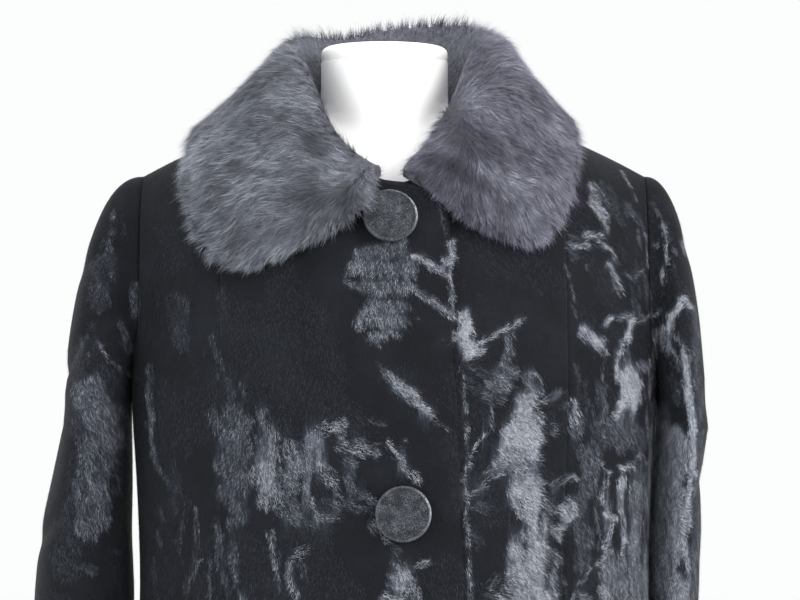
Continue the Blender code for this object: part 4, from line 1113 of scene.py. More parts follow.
# %% A sleeve's shape
def sleeve_grid(side, rows):
    """Rings: pivot + cos^p (armhole - pivot) + sin^p (bicep ring - pivot), then level rings."""
    arch = SIDE * (1 - np.linspace(0, 1, 33)) ** 1.3
    front = coat_point(side * side_turn(arch), arch)
    back = coat_point(side * (math.pi - side_turn(arch)), arch)[::-1]
    start = np.concatenate([front, back[1:-1]])
    start[:, 0] += side * GAP
    angles = np.linspace(0, 2 * math.pi, len(start), endpoint=False)

    def level_ring(height):
        cx, cy, wide, deep = (spline(rows, column, height) for column in range(1, 5))
        x, y = side * (cx + wide * np.cos(angles)), cy - deep * np.sin(angles)
        return np.stack([x, y, np.full_like(x, height)], axis=-1)

    bicep_z = rows[0][0]
    bicep = level_ring(bicep_z)
    pivot = np.array([side * (CHEST_HALF + 2 * GAP), 0.0, bicep_z])
    swing = np.linspace(0, SIDE, 33)[:, None]
    rise = np.cos(swing[..., None]).clip(0, 1) ** CAP_POWER
    run = np.sin(swing[..., None]) ** CAP_POWER
    cap = pivot + rise * (start - pivot) + run * (bicep - pivot)
    blend = np.sin(swing) ** 2
    cap[..., 1] = (1 - blend) * start[:, 1] + blend * bicep[:, 1]
    heights = np.linspace(bicep_z, rows[-1][0], 60)[1:]
    return np.concatenate([cap, np.array([level_ring(height) for height in heights])])


def round_normals(grid):
    """Normals of a tube's grid, from neighbours round it and along it, facing outwards."""
    around = np.roll(grid, -1, axis=1) - np.roll(grid, 1, axis=1)
    normal = unit(np.cross(around, np.gradient(grid, axis=0)))
    centre = grid.mean(axis=1, keepdims=True)
    return normal * np.sign(np.sum(normal * (grid - centre)))


def sleeve_creased(grid, normals, side):
    """Press slanting troughs into a sleeve, each fading round it and across its line."""
    count = grid.shape[1]
    angle = np.linspace(0, 360, count, endpoint=False)[None, :]
    z = grid[..., 2]
    push = (layered_noise(grid, 0.07, 2, 4.0) - 0.5) * 0.0024
    for which, height, turn, slope, half, depth in SLEEVE_CREASES:
        if which != side:
            continue
        apart = (angle - turn + 180) % 360 - 180
        line = height + slope * np.radians(apart) * 0.07
        push = push + depth * np.exp(-((z - line) / half) ** 2) * np.exp(-(apart / 48) ** 2)
    fade = ease(np.arange(len(grid))[:, None] / 10)
    return grid + normals * (push * fade)[..., None]


# %% The two sleeves
for name, side in (("right", -1), ("left", 1)):
    plain = sleeve_grid(side, SLEEVES[name])
    normal = round_normals(plain)
    formed = sleeve_creased(plain, normal, side)
    core = unit(formed - formed.mean(axis=1, keepdims=True))
    inner = formed - WALL * unit(normal + 0.8 * core)
    solid = f"sleeve_{name}"
    grids[solid] = (np.concatenate([formed, formed[:, :1]], axis=1),
                    np.concatenate([normal, normal[:, :1]], axis=1))
    sheets[solid] = cloth(f"{solid}_cloth", formed, inner, PILE_CLOTH, wrap=True)
    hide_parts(solid)

# %% [markdown]
# ## Hairs on the cloth
# Hairs are thrown evenly over each grid, then most are dropped again: nearly all stay in a
# bright drift, few elsewhere. Out of the photograph's sight they are thinner still, to keep
# the model light. A hair lies the way the nap says, tilted a little off the cloth.

# %% Hairs
HAIR_PER_MM2 = 1.8
HAIR_LENGTH, HAIR_WIDTH = 0.0045, 0.00039
HAIR_SINK = 0.0004      # depth of the roots in the cloth
HAIR_RISE = (8, 26)     # degrees off the cloth, least and most
LIE_SCATTER = 0.30      # radians by which neighbours differ
DARK_SHARE = 0.10       # of the hairs that stay between the drifts


def lay_hairs(name, solids, seed, seen_density, hidden_density):
    """One piece of hairs over several grids; the densities are shares of HAIR_PER_MM2."""
    rng = np.random.default_rng(seed)
    parts = []
    for solid in solids:
        grid, normals = grids[solid]
        count = int(np.sum(cell_areas(grid)) * 1e6 * HAIR_PER_MM2)
        at, above, _ = scatter(grid, normals, count, rng)
        seen = ease((at[:, 2] - SEEN_LOW) / 0.03 + 1.5)
        seen = seen * ease((SEEN_BACK - at[:, 1]) / 0.03 + 1.5)
        drawn = rng.random(count) < hidden_density + (seen_density - hidden_density) * seen
        at, above, dark = at[drawn], above[drawn], DARK_SHARE * (0.3 + 0.7 * seen[drawn])
        shine, lie = nap(at)
        keep = rng.random(len(at)) < dark + (1 - dark) * ease(shine * 2.2)
        parts.append((at[keep], above[keep], shine[keep], lie[keep]))
    at, above, shine, lie = (np.concatenate(column) for column in zip(*parts))
    count = len(at)
    lie = lie + rng.normal(0, LIE_SCATTER, count)
    flow = np.stack([np.cos(lie), np.zeros(count), np.sin(lie)], axis=-1)
    flow = unit(flow - above * np.sum(flow * above, axis=-1, keepdims=True))
    lengths = HAIR_LENGTH * rng.uniform(0.65, 1.25, count)
    widths = HAIR_WIDTH * rng.uniform(0.7, 1.2, count)
    rise = np.radians(rng.uniform(*HAIR_RISE, count))
    points, faces, along, per = blades(at - above * HAIR_SINK, flow, above, lengths, widths,
                                       rise, np.zeros(count), 1)
    # A hair's tone carries the nap's painted sheen, spread at random.
    tone = shine * rng.uniform(0.35, 1.40, count) + np.abs(rng.normal(0, 0.08, count))
    tint = np.repeat(np.clip(tone, 0.0, 1), per)
    facing = unit(above + 0.35 * rng.normal(0, 1, (count, 3)) + 0.2 * flow)
    uv = np.stack([tint, along], axis=-1)
    thing = make_mesh(name, points, faces, PILE_HAIR, None, uv,
                      np.repeat(facing, per, axis=0))
    print(f"{name}: {count} hairs")
    return thing


FRONTS = ("front_right", "front_left", "side_front_right", "side_front_left")
hairs = {
    "right": lay_hairs("front_right_hairs", FRONTS[::2], 21, 0.98, 0.13),
    "left": lay_hairs("front_left_hairs", FRONTS[1::2], 24, 0.98, 0.13),
    "sleeves": lay_hairs("sleeve_hairs", ("sleeve_right", "sleeve_left"), 22, 0.98, 0.15),
    "back": lay_hairs("back_hairs", ("back",), 23, 0.17, 0.17),
}

# %% [markdown]

# %% [markdown]
# ## The dress form
# The form is a smooth hard shell in matt white: a torso that fills the coat loosely and a neck
# that fades into the shoulders. A turned profile would be round, and a torso isn't, so one
# formula gives its radius in any direction. The collar uses it to keep its fur off the neck.

# %% The form's surface
NECK_AXIS, NECK_RADIUS, NECK_TOP, CAP_HEIGHT = (-0.0085, 0.004), 0.0568, 1.4375, 0.0140
FORM_CLEAR, NECK_FILLET = 0.0004, 11
FORM_LOW = 0.800        # where the torso ends on the pole
FORM_SINK, SINK_REACH, SINK_FADE = 0.007, 0.125, 0.05   # the shoulders dip under the collar
FORM_LEVELS = (         # (height, half_width, front_depth, back_depth)
    (0.800, 0.150, 0.102, 0.106),
    (0.860, 0.163, 0.112, 0.118),
    (0.950, 0.157, 0.106, 0.108),
    (1.045, 0.132, 0.096, 0.090),
    (1.150, 0.158, 0.119, 0.100),
    (1.260, 0.176, 0.112, 0.102),
    (1.400, 0.190, 0.108, 0.100),
)


def form_radius(height, angle):
    """Reach from the neck's axis: halving steps find the last point inside the torso.

    Inside means (x / wide)^p + (y / deep)^2 is at most 1, under the coat's shoulder line.  The
    neck joins by the 11th root of the sum of both radii to the 11th power.
    """
    height, angle = np.broadcast_arrays(height, angle)
    wide, front, back = (spline(FORM_LEVELS, column, height) for column in (1, 2, 3))
    near, far = np.zeros(height.shape), np.full(height.shape, 0.3)
    for _ in range(26):
        middle = (near + far) / 2
        x = NECK_AXIS[0] + middle * np.sin(angle)
        y = NECK_AXIS[1] - middle * np.cos(angle)
        top = shoulder_z(np.abs(x), 0.0) - WALL * 1.12 - FORM_CLEAR
        top = top - FORM_SINK * ease((SINK_REACH - np.abs(x)) / SINK_FADE)
        share = np.clip((height - CHEST_Z) / (top - CHEST_Z), 0, 1)
        deep = np.where(y < 0, front, back) * np.sqrt(1 - share**2)
        inside = (np.abs(x) / wide) ** RING_POWER + (y / np.maximum(deep, 1e-6)) ** 2 <= 1
        near, far = np.where(inside, middle, near), np.where(inside, far, middle)
    neck = np.where(height > CHEST_Z + 0.1, NECK_RADIUS, 0.0)
    return (near**NECK_FILLET + neck**NECK_FILLET) ** (1 / NECK_FILLET)


def form_grid(rows, columns):
    """Rings of the torso from the hip to the neck's top; the lowest two round its edge."""
    height = np.concatenate([[FORM_LOW, FORM_LOW + 0.003],
                             np.linspace(FORM_LOW + 0.012, NECK_TOP, rows - 2)])
    angle = np.linspace(0, 2 * math.pi, columns, endpoint=False)
    height, angle = np.meshgrid(height, angle, indexing="ij")
    shrink = np.ones(rows)
    shrink[:2] = 0.94, 0.985
    reach = form_radius(height, angle) * shrink[:, None]
    return np.stack([NECK_AXIS[0] + reach * np.sin(angle),
                     NECK_AXIS[1] - reach * np.cos(angle), height], axis=-1)


# %% The form's finishes
def matt_white():
    """Painted shell: a warm white with the faintest mottle."""
    s = Shader("matt_white", Roughness=0.55)
    mottle = s.noise(9.0, 3.0)
    colour = s.ramp(mottle, ((0.0, (0.88, 0.875, 0.865)), (1.0, (0.94, 0.935, 0.93))))
    return s.feed(Base_Color=colour, Normal=s.bump(s.noise(300.0, 2.0), 0.08, 0.0003))


def brushed_steel():
    """Turned steel: fine rings of grain, lightly streaked."""
    s = Shader("brushed_steel", Metallic=1.0)
    grain = s.noise(1.0, 4.0, 0.6, s.place((40, 40, 2600)))
    colour = s.ramp(grain, ((0.0, (0.46, 0.46, 0.47)), (1.0, (0.62, 0.62, 0.63))))
    return s.feed(Base_Color=colour, Roughness=0.24 + 0.22 * grain)


MATT_WHITE, BRUSHED_STEEL = matt_white(), brushed_steel()
print("finishes", MATT_WHITE.name, BRUSHED_STEEL.name)


# %% The torso and the neck's cap
def capped(grid):
    """Faces of a closed stack of rings, with a fan point at each end."""
    rows, columns = grid.shape[:2]
    points = np.concatenate([grid.reshape(-1, 3), grid[0].mean(0)[None], grid[-1].mean(0)[None]])
    walls = quad_grid(rows, columns, True)
    index = np.arange(columns)
    after = np.roll(index, -1)
    low, high = len(points) - 2, len(points) - 1
    last = (rows - 1) * columns
    bottom = np.stack([np.full(columns, low), after, index], axis=-1)
    top = np.stack([np.full(columns, high), last + index, last + after], axis=-1)
    triangles = np.concatenate([walls[:, [0, 1, 2]], walls[:, [0, 2, 3]], bottom, top])
    return points, triangles


FORM_SHARP = math.radians(50)           # edges steeper than this stay sharp
points, faces = capped(form_grid(72, 80))
torso = make_mesh("form_torso_skin", points, faces, MATT_WHITE)
torso.data.set_sharp_from_angle(angle=FORM_SHARP)
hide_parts("form_torso")

# The cap's profile: a small bevel, a quarter round to its top, then the nearly flat top.
cap_edge = NECK_RADIUS - 0.0004
corner = np.linspace(0, SIDE, 10)
cap_profile = np.concatenate([
    [(cap_edge - 0.0006, 0.0), (cap_edge, 0.0006)],
    np.stack([cap_edge - 0.0065 * (1 - np.cos(corner)),
              0.0078 + (CAP_HEIGHT - 0.0083) * np.sin(corner)], axis=-1),
    [(cap_edge * 0.7, CAP_HEIGHT - 0.0001), (cap_edge * 0.35, CAP_HEIGHT)]])
angle = np.linspace(0, 2 * math.pi, 96, endpoint=False)
radius, rise = cap_profile[:, :1], cap_profile[:, 1:]
cap_grid = np.stack([NECK_AXIS[0] + radius * np.sin(angle), NECK_AXIS[1] - radius * np.cos(angle),
                     NECK_TOP + GAP + rise + 0 * angle], axis=-1)
points, faces = capped(cap_grid)
neck_cap = make_mesh("form_neck_cap_skin", points, faces, MATT_WHITE)
neck_cap.data.set_sharp_from_angle(angle=FORM_SHARP)
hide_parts("form_neck_cap")
print("form", len(torso.data.polygons), "triangles")

# %% [markdown]
# ## The collar's body
# The collar is a band of plush cut deep, sewn to the neckline, standing up and falling over
# in a roll. Its cross-section is one closed line: up the neck's side, over the roll, down the
# outside to the edge and back underneath. `depth` says how much of the fur to include, so
# the felted body takes 70 % of it and leaves the rest to the hairs. A tube pushed into shape
# would do for an even collar. These two wings differ, so a table gives the section's sizes at
# each turn round the neck.

# %% The collar's sizes
FUR, COLLAR_CLEAR, BASE_CLEAR, NECK_CLEAR = 0.022, 0.0022, 0.0016, 0.0015
BUTTON_RADIUS, BUTTON_DEPTH, BUTTON_RIM, SHANK_HEIGHT = 0.0232, 0.0085, 0.0016, 0.0015
BUTTONS = (             # (x, height, turn of the face in degrees)
    (-0.0033, 1.2925, 7.0),
    (0.0083, 1.049, 0.0),
    (0.0083, 0.803, 0.0),
)
COLLAR = (              # (turn, edge_x, edge_arch, stand, inside, pile)
    (8, -0.017, 36, 0.0040, 0.006, 0.58),
    (26, -0.066, 31, 0.003, 0.004, 0.75),
    (42, -0.121, 27, 0.006, 0.005, 0.92),
    (58, -0.158, 33, 0.019, 0.009, 1.00),
    (74, -0.178, 53, 0.036, 0.009, 1.00),
    (90, -0.176, 82, 0.045, 0.008, 1.00),
    (112, -0.160, 108, 0.049, 0.009, 1.00),
    (146, -0.080, 124, 0.051, 0.012, 1.00),
    (180, 0.000, 139, 0.064, 0.012, 1.00),
    (214, 0.074, 124, 0.064, 0.014, 1.00),
    (248, 0.140, 108, 0.056, 0.020, 1.00),
    (270, 0.156, 82, 0.051, 0.026, 1.00),
    (288, 0.153, 54, 0.043, 0.030, 1.00),
    (304, 0.137, 38, 0.031, 0.030, 1.00),
    (320, 0.112, 32, 0.018, 0.028, 1.00),
    (336, 0.079, 34, 0.008, 0.022, 0.90),
    (354, 0.053, 36, 0.0035, 0.010, 0.60),
)
SHARES = np.concatenate([[0.10, 0.15], np.linspace(0.20, 0.94, 22), [0.97, 1.0]])
print("collar from", COLLAR[0][0], "to", COLLAR[-1][0], "degrees")

# %% Room for the lap, the top button and the neck


LAP_END_SPARE, LAP_END_FADE = 0.020, 0.018      # the lap's lift ends past its edge
KNOB_SPARE, KNOB_REACH, KNOB_FADE = 0.0045, 0.012, 0.009    # room over and round the button


def lap_cover(x, height):
    """Height of the lap and the top button over the coat's plain surface."""
    lap = lap_lift(x) * ease((EDGE_X_MAX + LAP_END_SPARE - x) / LAP_END_FADE)
    away = np.hypot(x - BUTTONS[0][0], height - BUTTONS[0][1])
    knob = BUTTON_DEPTH + SHANK_HEIGHT + KNOB_SPARE
    return lap + knob * ease((BUTTON_RADIUS + KNOB_REACH - away) / KNOB_FADE)


def clear_of_neck(points):
    """Push points outwards from the neck's axis until they clear the form."""
    away = points[..., :2] - np.array(NECK_AXIS)
    reach = np.linalg.norm(away, axis=-1)
    least = NECK_CLEAR + form_radius(np.minimum(points[..., 2], NECK_TOP),
                                     np.arctan2(away[..., 0], -away[..., 1]))
    grown = away * np.maximum(1.0, least / reach)[..., None]
    return np.concatenate([np.array(NECK_AXIS) + grown, points[..., 2:]], axis=-1)


# %% The collar's section
CLOSE_TURN, CLOSE_LEAST = 16, 0.22      # the fur thins to this share over the end degrees
FLAT_TURN, FLAT_FADE = 68, 30           # degrees: the right end's fur lies flatter
FLAT_SHARE, FLAT_WIDTH = 0.52, 0.45     # by how much, and over what share of the section
EDGE_DRAWN = 0.20       # share of the section by which the bare body stops short of the edge
COLLAR_LEAN = 0.28      # how far the stand leans out, against 1 upwards


def collar_lines(turn, depth):
    """The section's parts at each turn: neck side and roll, outside, edge, underside, seam.

    The seam's foot is a point of the neckline.  From it the underside runs over the coat's own
    surface to the edge, its normal turning from nearly upright at the stand to the cloth's own
    normal.  The outside is the underside moved out by the fur, and the neck side is the foot
    moved in by `inside` and up by the stand.
    """
    degrees = np.degrees(turn)
    edge_x, edge_arch, stand, inside, pile = (
        spline(COLLAR, column, degrees)[:, None] for column in range(1, 6))
    ends = np.minimum(degrees - COLLAR[0][0], COLLAR[-1][0] - degrees)
    close = np.sqrt(1 - (1 - np.clip(ends / CLOSE_TURN, 0, 1)) ** 2)[:, None]
    close = close * (1 - CLOSE_LEAST) + CLOSE_LEAST
    inside, fur = inside * close * (0.35 + 0.65 * depth), FUR * pile * close * depth
    edge_arch = np.radians(edge_arch)
    shares = SHARES * (1 - (1 - depth) * EDGE_DRAWN)
    flat = ease((FLAT_TURN - degrees) / FLAT_FADE)[:, None]
    fur = fur * (1 - FLAT_SHARE * flat * (1 - ease(shares / FLAT_WIDTH)))
    x = -NECK_HALF * np.sin(turn)
    ahead = np.cos(turn) > 0
    around = ring_turn(x / CHEST_HALF)
    around = np.where(ahead, around, np.where(x < 0, -math.pi, math.pi) - around)
    arch = arch_at(around, np.where(ahead, neckline_z(x), neckline_z(x, back=True)))
    neck = coat_point(around, arch)
    lap = lap_lift(x) * ease((EDGE_X_MAX - x) / 0.014)
    neck = neck + coat_normal(around, arch) * lap[:, None] + np.array([0, 0, BASE_CLEAR])
    away = neck - np.array([*NECK_AXIS, 0.0])
    away[:, 2] = 0
    away = unit(away)[:, None]
    start = np.where(ahead, arch, math.pi - arch)[:, None]
    x = neck[:, :1] + shares * (edge_x - neck[:, :1])
    arch = start + shares * (edge_arch - start)
    side = ring_turn(x / CHEST_HALF)
    behind = arch > SIDE
    around = np.where(behind, np.where(x < 0, -1, 1) * (math.pi - np.abs(side)), side)
    level = np.where(behind, math.pi - arch, arch)
    skin, normal = coat_point(around, level), coat_normal(around, level)
    upright = unit(np.array([0, 0, 1.0]) + COLLAR_LEAN * away)
    lean = ((1 - shares) ** 1.5)[:, None]
    normal = unit(lean * upright + (1 - lean) * normal)
    clear = COLLAR_CLEAR + lap_cover(skin[..., 0], skin[..., 2])
    under = skin + normal * (clear + stand * (1 - shares) ** 1.4)[..., None]
    over = under + normal * fur[..., None]
    tip = unit(over[:, -1:] - over[:, -2:-1])
    roll, fur = fur[:, :1, None], fur[:, -1:, None]
    stand, inside = stand[..., None], inside[..., None]
    brow = over[:, -1:] + tip * fur * 0.22 - normal[:, -1:] * fur * 0.30
    chin = under[:, -1:] + tip * fur * 0.22 + normal[:, -1:] * fur * 0.18
    neck = neck[:, None]
    top = neck + upright * (stand + COLLAR_CLEAR)
    low = [neck - away * inside * 0.70 + upright * 0.001,
           neck - away * inside + upright * (0.35 * stand + 0.001),
           top - away * inside * 0.95 + upright * roll * 0.35,
           top - away * inside * 0.55 + upright * roll * 0.80]
    seam = [top + away * 0.0008 - upright * 0.001, neck + away * 0.0008 + upright * 0.5 * stand,
            neck + away * 0.0008 + upright * 0.0005]
    rise = clear_of_neck(np.concatenate(low, axis=1))
    return rise, over, np.concatenate([brow, chin], axis=1), under, np.concatenate(seam, axis=1)


def smooth_line(points, count):
    """Catmull-Rom curve along axis 1, read at `count` even steps of its knots."""
    last = points.shape[1] - 1
    at = np.linspace(0, last, count)
    low = np.clip(at.astype(int), 0, last - 1)
    t = (at - low)[None, :, None]
    a, b, c, d = (points[:, np.clip(low + step, 0, last)] for step in (-1, 0, 1, 2))
    return 0.5 * (2 * b + (c - a) * t + (2 * a - 5 * b + 4 * c - d) * t**2
                  + (3 * b - a - 3 * c + d) * t**3)


COLLAR_SECTIONS = 160
COLLAR_TURNS = np.radians(np.linspace(COLLAR[0][0], COLLAR[-1][0], COLLAR_SECTIONS))


def collar_face(depth):
    """The furred face alone: from the neck's foot over the roll to the edge's underside."""
    rise, over, edge, _, _ = collar_lines(COLLAR_TURNS, depth)
    return np.concatenate([smooth_line(np.concatenate([rise, over[:, :3]], axis=1), 25)[:, :-9],
                           over[:, 1:], edge], axis=1)


# %% Painted shade and light on the fur
PAINTED_SHADING_STRENGTH, PAINTED_SHADING_BACK = 1.6, 0.05      # there are none behind this y
PAINTED_SHADING = (    # (px0, py0, px1, py1, half_width, depth): painted shade where the fur parts into hollows, negative ones painted light
    (306, 134, 316, 148, 8, 0.55), (290, 196, 345, 200, 14, 0.38), (345, 180, 348, 200, 7, 0.25),
    (268, 66, 298, 70, 8, 0.12), (298, 110, 304, 124, 6, 0.2), (215, 118, 250, 116, 5, 0.18),
    (225, 166, 262, 170, 4, 0.25), (270, 172, 310, 168, 4, 0.22), (190, 205, 215, 203, 5, 0.18),
    (300, 228, 345, 222, 9, 0.18), (230, 240, 290, 232, 10, 0.12), (434, 157, 462, 170, 10.3, 0.6),
    (462, 170, 486, 186, 8, 0.5), (450, 108, 470, 142, 18.1, 0.5), (488, 126, 498, 152, 9, 0.34),
    (474, 50, 488, 56, 8, 0.32), (480, 66, 486, 74, 7, 0.25), (412, 172, 440, 182, 5, 0.35),
    (444, 190, 480, 205, 12, 0.2), (436, 225, 456, 230, 6, 0.35), (345, 36, 440, 32, 8, 0.26),
    (500, 188, 505, 215, 6, 0.2), (480, 172, 560, 190, 12, -0.18), (563, 110, 578, 180, 8, -0.2),
    (186, 165, 187, 215, 8, -0.15), (332, 140, 345, 176, 7, -0.22), (462, 80, 470, 95, 8, -0.2),
    (444, 150, 460, 150, 5, -0.25), (270, 106, 285, 105, 4, -0.25), (200, 250, 240, 262, 8, -0.12),
    (520, 245, 545, 248, 6, -0.15),
)
ROLL_PY, BACK_PY = 110, 60      # above these rows the collar's roll and its back are seen
ROLL_Y, FLAP_Y = -0.05, -0.14   # how far forward the roll and the wings stand
painted_shading_py = np.array(PAINTED_SHADING)[:, 1::2][:, :2].mean(axis=1)
PAINTED_SHADING = from_picture(PAINTED_SHADING, np.where(
    painted_shading_py > ROLL_PY, FLAP_Y, np.where(painted_shading_py > BACK_PY, ROLL_Y, 0.0)))
print("partings", len(PAINTED_SHADING))


def shaded(points):
    """Painted shade: the share of light left by the strokes, 1 less each one's depth times a bell
    across it; a negative depth paints light.
    """
    left = np.ones(len(points))
    front = points[:, 1] < PAINTED_SHADING_BACK
    for x0, z0, x1, z1, half, depth in PAINTED_SHADING:
        run, rise = x1 - x0, z1 - z0
        along = ((points[:, 0] - x0) * run + (points[:, 2] - z0) * rise) / (run**2 + rise**2)
        along = np.clip(along, 0, 1)
        away = np.hypot(points[:, 0] - x0 - along * run, points[:, 2] - z0 - along * rise)
        left *= 1 - PAINTED_SHADING_STRENGTH * depth * np.exp(-(away / half) ** 2) * front
    return left


# %% The collar's felt
FELT_DEPTH = 0.70
face = collar_face(FELT_DEPTH)
_, _, _, under, seam = collar_lines(COLLAR_TURNS, FELT_DEPTH)
loop = np.concatenate([face, under[:, ::-1], seam], axis=1)
points, faces = capped(loop[:, ::-1])
if enclosed(points, np.concatenate([faces, faces[:, 2:]], axis=1)) < 0:
    faces = faces[:, ::-1]


def plush_felt():
    """The dense underfur, seen between the locks: dark, partly as painted shade deep in the fur,
    and darker still under the painted shade strokes.
    """
    s = Shader("plush_felt", Roughness=0.85)
    tuft = s.noise(190.0, 3.0)
    wide = s.noise(24.0, 2.0)
    light = (tuft * 0.7 + wide * 0.3) * s.attribute("parting")
    colour = s.ramp(light.clamp(), ((0.20, (0.026, 0.028, 0.036)), (0.45, (0.062, 0.066, 0.082)),
                                    (0.75, (0.120, 0.127, 0.155))))
    return s.feed(Base_Color=colour, Normal=s.bump(tuft, 0.9, 0.002))


# The felt is darkened by the painted shade of the strokes.
collar = make_mesh("collar_felt", points, faces, plush_felt(),
                   {"parting": shaded(points)})
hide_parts("collar")
print("collar", len(faces), "triangles")

# %% [markdown]
# ## The collar's locks
# Plush fibres cling together in locks a few millimetres across. The hairs of a lock start
# round its root and draw together towards the tip. The locks follow a table of how
# the photographed fur is combed, swirled by noise, and stand highest on the roll behind. At
# the collar's two ends they fan out and sink in, so that the ends close softly.

# %% How the collar is combed
LOCKS, HAIRS_PER_LOCK = 23500, 7
CURVED_SHARE = 0.38     # of the hairs, bent in the middle; the rest are straight
LOCK_SPREAD, LOCK_LENGTH, HAIR_GIRTH = 0.0007, 0.0150, 0.00040
SWIRL_SIZES, SWIRL = (0.030, 0.010), 0.9        # metres, and radians from side to side
NECK_SHARE, NECK_SHARE_FADE = 0.24, 0.08        # of the section: combed straight down
FAN_ENDS, FAN = 7, 1.4                  # sections from an end over which the locks fan out
SINK_ENDS, SINK_DEPTH = 2.5, 0.011      # sections over which its roots sink, and how deep
ROLL_SHARE, ROLL_WIDTH, ROLL_RISE = 0.33, 0.10, 0.65
LOCK_TONE, PAINTED_HOLLOW_TONE, TONE_SCATTER = 0.54, 0.95, 0.23
HAIR_ROOT_SINK, HAIR_DROOP = 0.0015, -1.1
COMB_NEAR = 0.010       # metres within which a row of the combing table rules alone
COMBED = (      # (x, z, degrees from +x, up positive): how the fur lies, seen from the front
    (-0.105, 1.440, 165), (-0.125, 1.405, 200), (-0.165, 1.350, 215), (-0.100, 1.375, 180),
    (-0.135, 1.345, 188), (-0.090, 1.340, 196), (-0.160, 1.290, 205), (-0.150, 1.255, 228),
    (-0.110, 1.260, 240), (-0.060, 1.290, 246), (-0.035, 1.300, 240), (-0.065, 1.375, 150),
    (-0.045, 1.340, 130), (-0.020, 1.330, 262), (-0.080, 1.320, 205), (-0.120, 1.300, 215),
    (0.000, 1.460, 92), (0.045, 1.450, 65), (0.070, 1.425, 20), (0.045, 1.410, 105),
    (0.035, 1.365, 200), (0.008, 1.335, 188), (0.020, 1.320, 200), (0.080, 1.375, 330),
    (0.110, 1.390, 325), (0.135, 1.360, 338), (0.105, 1.335, 335), (0.140, 1.310, 305),
    (0.095, 1.290, 300), (0.105, 1.260, 278), (0.140, 1.270, 290), (0.040, 1.310, 292),
    (0.060, 1.330, 262), (0.060, 1.285, 275), (0.050, 1.290, 262),
)


def face_normals(grid):
    """Outward normals of the furred face from its rows and columns."""
    normal = unit(np.cross(np.gradient(grid, axis=0), np.gradient(grid, axis=1)))
    middle = normal[len(grid) // 2, grid.shape[1] // 2]
    return normal if middle[2] > 0 else -normal


def section_ways(grid, at_row, at_column):
    """Unit steps along the section (towards the edge) and round the collar at grid places."""
    down, along = unit(np.gradient(grid, axis=1)), unit(np.gradient(grid, axis=0))
    row, column = np.rint(at_row).astype(int), np.rint(at_column).astype(int)
    return down[row, column], along[row, column]


def combed(points, down):
    """Blend of the combing table: weights of 1 over (distance^2 + 1 cm^2) to the power 1.5.

    Behind the shoulder line the fur is simply combed down the section.
    """
    table = np.array(COMBED)
    apart = (points[:, None, 0] - table[:, 0]) ** 2 + (points[:, None, 2] - table[:, 1]) ** 2
    weight = 1 / (apart + COMB_NEAR**2) ** 1.5
    weight /= weight.sum(axis=1, keepdims=True)
    angle = np.radians(table[:, 2])
    flow = np.stack([weight @ np.cos(angle), np.zeros(len(points)), weight @ np.sin(angle)],
                    axis=-1)
    back = ease((points[:, 1] - 0.030) / 0.04)[:, None]
    return unit(unit(flow) * (1 - back) + down * back)


# %% Growing the locks
def grow_locks(seed):
    """Roots, flow, normals, lengths, tones, rise and station of every hair on the collar."""
    rng = np.random.default_rng(seed)
    root, above, where = scatter(face, face_normals(face), LOCKS, rng)
    down, round_way = section_ways(face, where[:, 0], where[:, 1])
    share = where[:, 1] / (face.shape[1] - 1)
    broad, fine = (value_noise(root, size, shift) - 0.5
                   for size, shift in zip(SWIRL_SIZES, (2.0, 6.0)))
    swirl = broad * SWIRL + fine * SWIRL
    flow = combed(root, down)
    flow = unit(flow - above * np.sum(flow * above, axis=-1, keepdims=True))
    flow = flow * np.cos(swirl)[:, None] + np.cross(above, flow) * np.sin(swirl)[:, None]
    neck_side = ease((NECK_SHARE - share) / NECK_SHARE_FADE)[:, None]
    flow = unit(flow * (1 - neck_side) + down * neck_side)
    ends = np.minimum(where[:, 0], len(face) - 1 - where[:, 0])
    outward = np.where(where[:, 0] < len(face) / 2, -1, 1) * ease(1 - ends / FAN_ENDS)
    flow = unit(flow + FAN * outward[:, None] * round_way)
    roll = np.exp(-((share - ROLL_SHARE) / ROLL_WIDTH) ** 2) * ease((root[:, 1] + 0.02) / 0.05)
    rise = np.radians(rng.normal(24, 7, LOCKS)) + ROLL_RISE * roll
    length = LOCK_LENGTH * rng.uniform(0.75, 1.2, LOCKS) * (1 - 0.55 * neck_side[:, 0])
    length = length * (0.60 + 0.40 * ease(ends / 6))
    # Broad noise darkens some locks: painted shade of hollows in the fur.
    painted_hollow = layered_noise(root, 0.030, 2, 8.0) - 0.5
    tone = LOCK_TONE + PAINTED_HOLLOW_TONE * painted_hollow + rng.normal(0, TONE_SCATTER, LOCKS)
    lock = np.repeat(np.arange(LOCKS), HAIRS_PER_LOCK)
    count = len(lock)
    side = unit(np.cross(flow, above))
    off = rng.normal(0, LOCK_SPREAD, (count, 2))
    start = root[lock] + flow[lock] * off[:, :1] + side[lock] * off[:, 1:]
    sunk = rng.uniform(0, SINK_DEPTH, count) * ease(1 - ends[lock] / SINK_ENDS)
    start = start - above[lock] * sunk[:, None]
    gather = -0.55 * off[:, 1:] * side[lock] / LOCK_LENGTH
    way = unit(flow[lock] + gather + 0.16 * rng.normal(0, 1, (count, 3)))
    way = unit(way - above[lock] * np.sum(way * above[lock], axis=-1, keepdims=True))
    lengths = length[lock] * rng.uniform(0.6, 1.2, count)
    tones = np.clip(tone[lock] + rng.normal(0, 0.10, count), 0.02, 1.0)
    rises = rise[lock] + rng.normal(0, 0.14, count)
    stations = where[lock, 0] + rng.normal(0, 5, LOCKS)[lock]
    return start, way, above[lock], lengths, tones, rises, stations


